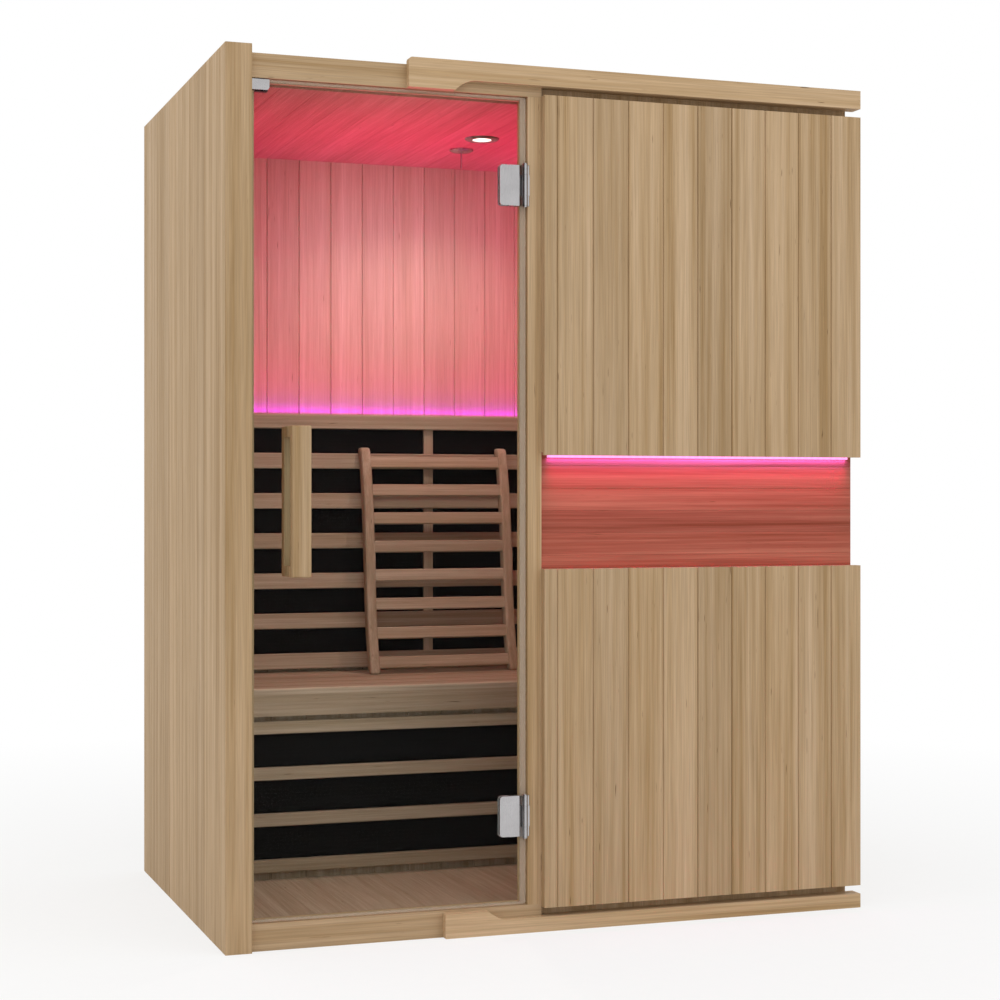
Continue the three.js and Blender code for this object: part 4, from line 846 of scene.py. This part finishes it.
class SAUNA_OT_stage(Operator):
    """Build the studio: daylight, floor, black flags, lamps and camera"""

    bl_idname = "sauna.stage"
    bl_label = "Studio"

    def execute(self, context):
        scene = context.scene
        scene.view_settings.view_transform = "Standard"
        self.add_world(scene)
        self.add_floor(scene)
        self.add_flags(scene)
        self.add_lamps(scene)
        self.add_camera(scene)
        return {"FINISHED"}

    def add_world(self, scene):
        """Soft daylight all round, seen as white."""
        world = bpy.data.worlds.new("Studio")
        scene.world = world
        world.use_nodes = True
        tree = world.node_tree
        background = tree.nodes["Background"]
        level = {0: seen_directly(tree), "To Min": 0.85, "To Max": 1.0}
        level = add_node(tree, "ShaderNodeMapRange", level).outputs[0]
        tree.links.new(level, background.inputs["Strength"])
        background.inputs["Color"].default_value = (1, 1, 1, 1)

    def add_floor(self, scene):
        """A pale floor that fades into the white round it and keeps the cabin's shadow."""
        half = 30.0  # half the floor's width
        near, far = 1.2, 3.5  # from the origin to where the floor starts to fade and where it is white
        mesh = bpy.data.meshes.new("studio_floor")
        corners = [(-half, -half, 0), (half, -half, 0), (half, half, 0), (-half, half, 0)]
        mesh.from_pydata(corners, [], [(0, 1, 2, 3)])
        floor = bpy.data.objects.new("studio_floor", mesh)
        scene.collection.objects.link(floor)
        material, tree, surface = new_finish("Pale studio floor")
        place = add_node(tree, "ShaderNodeTexCoord").outputs["Object"]
        speckle = {"Vector": place, "Scale": 1 / (40 * MM), "Detail": 2}
        speckle = add_node(tree, "ShaderNodeTexNoise", speckle).outputs[0]
        shade = scene.sauna_finishes.floor
        stops = [(0.3, scaled(shade, 0.98)), (0.7, shade)]
        tint = add_node(tree, "ShaderNodeValToRGB", {0: speckle}, stops).outputs[0]
        tree.links.new(tint, surface.inputs["Base Color"])
        surface.inputs["Roughness"].default_value = 0.9
        surface.inputs["Specular IOR Level"].default_value = 0.0
        away = add_node(tree, "ShaderNodeVectorMath", {0: place}, operation="LENGTH").outputs["Value"]
        fade = {0: away, "From Min": near, "From Max": far, "To Min": 0.72}
        fade = add_node(tree, "ShaderNodeMapRange", fade).outputs[0]
        share = {0: seen_directly(tree), 1: fade}
        share = add_node(tree, "ShaderNodeMath", share, operation="MULTIPLY").outputs[0]
        white = add_node(tree, "ShaderNodeEmission", {"Color": (1, 1, 1, 1), "Strength": 1}).outputs[0]
        mixed = add_node(tree, "ShaderNodeMixShader", {0: share, 1: surface.outputs[0], 2: white}).outputs[0]
        tree.links.new(mixed, tree.nodes["Material Output"].inputs["Surface"])
        mesh.materials.append(material)

    def add_flags(self, scene):
        """Black cloths beside the door that show only in mirrors, so that round steel has dark sides."""
        cloth = pitted("Black flag cloth", scene.sauna_finishes.flag, 2 * MM, 0.9, 0.5 * MM)
        pin = next(Vector(joint["pos_m"]) for joint in frame["joints"] if joint["name"] == "door_hinge")
        away, height = 1.2, 2.4  # close enough to show in the lower hinge, seen from above

        # Each from one angle to another about the hinge pin, in degrees from straight ahead
        for name, start, end in (("left_flag", -92, -42), ("right_flag", 58, 92)):
            turns = [math.radians(start), math.radians(end)]
            feet = [pin + away * Vector((math.sin(turn), -math.cos(turn), 0)) for turn in turns]
            heads = [foot + Vector((0, 0, height)) for foot in feet]
            mesh = bpy.data.meshes.new(name)
            mesh.from_pydata([*feet, *reversed(heads)], [], [(0, 1, 2, 3)])
            mesh.materials.append(cloth)
            flag = bpy.data.objects.new(name, mesh)
            flag.visible_camera = flag.visible_diffuse = flag.visible_shadow = False
            flag.visible_transmission = flag.visible_volume_scatter = False
            scene.collection.objects.link(flag)

    def add_lamps(self, scene):
        """Soft lights overhead and on the left, and the wash that the cabin's own lights throw."""
        finishes = scene.sauna_finishes
        lamps = [
            add_lamp("overhead", (4.0, 3.0), (0.6, -2.6, 4.2), (-0.08, 0.62, -0.78), (1, 1, 1), 35),
            add_lamp("left_fill", (2.0, 2.0), (-4.0, -0.6, 3.0), (0.86, 0.1, -0.5), (1, 0.93, 0.82), 25),
        ]

        low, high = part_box("back_light_strip")
        middle, long = (low.x + high.x) / 2, high.x - low.x
        above = (middle, low.y - 1 * MM, high.z + 3 * MM)
        lamps.append(add_lamp("back_glow", (long, 10 * MM), above, (0, -0.15, 1), finishes.glow, 1.0))
        near = (middle, low.y - 0.12, high.z + 0.04)
        wash = (0.95 * long, 0.06), near, (0, 1, 0.5), finishes.red_wash
        lamps.append(add_lamp("wall_wash", *wash, 0.68, 100))
        before = (middle - 0.1, low.y - 0.45, high.z + 0.42)
        lamps.append(add_lamp("pale_wash", (0.6, 0.35), before, (0, 1, -0.1), finishes.pale_wash, 0.68, 90))
        below = (middle - 0.06, low.y - 0.45, high.z + 0.1)
        lamps.append(add_lamp("ceiling_wash", (0.75 * long, 0.5), below, (0, 0, 1), finishes.red_wash, 8.8))

        low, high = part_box("niche_light_strip")
        middle, long = (low.x + high.x) / 2, high.x - low.x
        close = (middle, high.y - 5 * MM, low.z - 2 * MM)
        lamps.append(add_lamp("niche_glow", (long, 6 * MM), close, (0, 0.35, -1), finishes.niche_glow, 0.45))
        under = (middle, low.y, low.z - 2 * MM)
        wash = (long, 8 * MM), under, (0, 0.12, -1), finishes.red_wash
        lamps.append(add_lamp("niche_wash", *wash, 0.28, 56))

        low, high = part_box("ceiling_light_lens")
        lens = Vector(((low.x + high.x) / 2, (low.y + high.y) / 2, low.z - 2 * MM))
        lamps.append(add_lamp("ceiling_lamp", (40 * MM, 40 * MM), lens, (0, 0, -1), finishes.lamp, 2.5, 140))

        low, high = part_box("door_glass")
        inside = (low.x + 0.2, high.y + 0.12, 0.95)
        lamps.append(add_lamp("door_daylight", (0.4, 0.9), inside, (0, 1, 0), (1, 0.97, 0.97), 0.8))

    def add_camera(self, scene):
        """The photograph's viewpoint: standing left of the door, level, a short tele lens."""
        camera = bpy.data.cameras.new("photo_camera")
        place, azimuth = (-1.64092, -4.72352, 0.97172), -19.53  # fitted to the photograph's edges
        camera.lens = 72.06
        camera.sensor_width = 36
        holder = bpy.data.objects.new("photo_camera", camera)
        holder.location = place
        holder.rotation_euler = (math.radians(90), 0, math.radians(azimuth))
        scene.collection.objects.link(holder)
        scene.camera = holder


STEPS = [
    SAUNA_OT_timber,
    SAUNA_OT_metal_and_glass,
    SAUNA_OT_heat_and_light,
    SAUNA_OT_cases,
    SAUNA_OT_hinge_screws,
    SAUNA_OT_power_unit_fittings,
    SAUNA_OT_control_face,
    SAUNA_OT_stage,
]


class SAUNA_PT_sidebar(Panel):
    """Lists the steps that dress the cabin, and their settings"""

    bl_idname = "SAUNA_PT_sidebar"
    bl_label = "Infrared sauna cabin"
    bl_space_type = "VIEW_3D"
    bl_region_type = "UI"
    bl_category = "Sauna"

    def draw(self, context):
        for step in STEPS:
            self.layout.operator(step.bl_idname)
        for group in GROUPS:
            box = self.layout.box()
            settings = getattr(context.scene, group)
            for name in settings.__annotations__:
                box.prop(settings, name)


GROUPS = {"sauna_timber": SaunaTimber, "sauna_finishes": SaunaFinishes, "sauna_fittings": SaunaFittings}


def register():
    for made in [*GROUPS.values(), *STEPS, SAUNA_PT_sidebar]:
        bpy.utils.register_class(made)
    for name, group in GROUPS.items():
        setattr(bpy.types.Scene, name, PointerProperty(type=group))


def unregister():
    for name in GROUPS:
        delattr(bpy.types.Scene, name)
    for made in reversed([*GROUPS.values(), *STEPS, SAUNA_PT_sidebar]):
        bpy.utils.unregister_class(made)


def main():
    register()
    bpy.ops.sauna.timber()
    bpy.ops.sauna.metal_and_glass()
    bpy.ops.sauna.heat_and_light()
    bpy.ops.sauna.cases()
    bpy.ops.sauna.hinge_screws()
    bpy.ops.sauna.power_unit_fittings()
    bpy.ops.sauna.control_face()
    bpy.ops.sauna.stage()


if __name__ == "__main__":
    main()
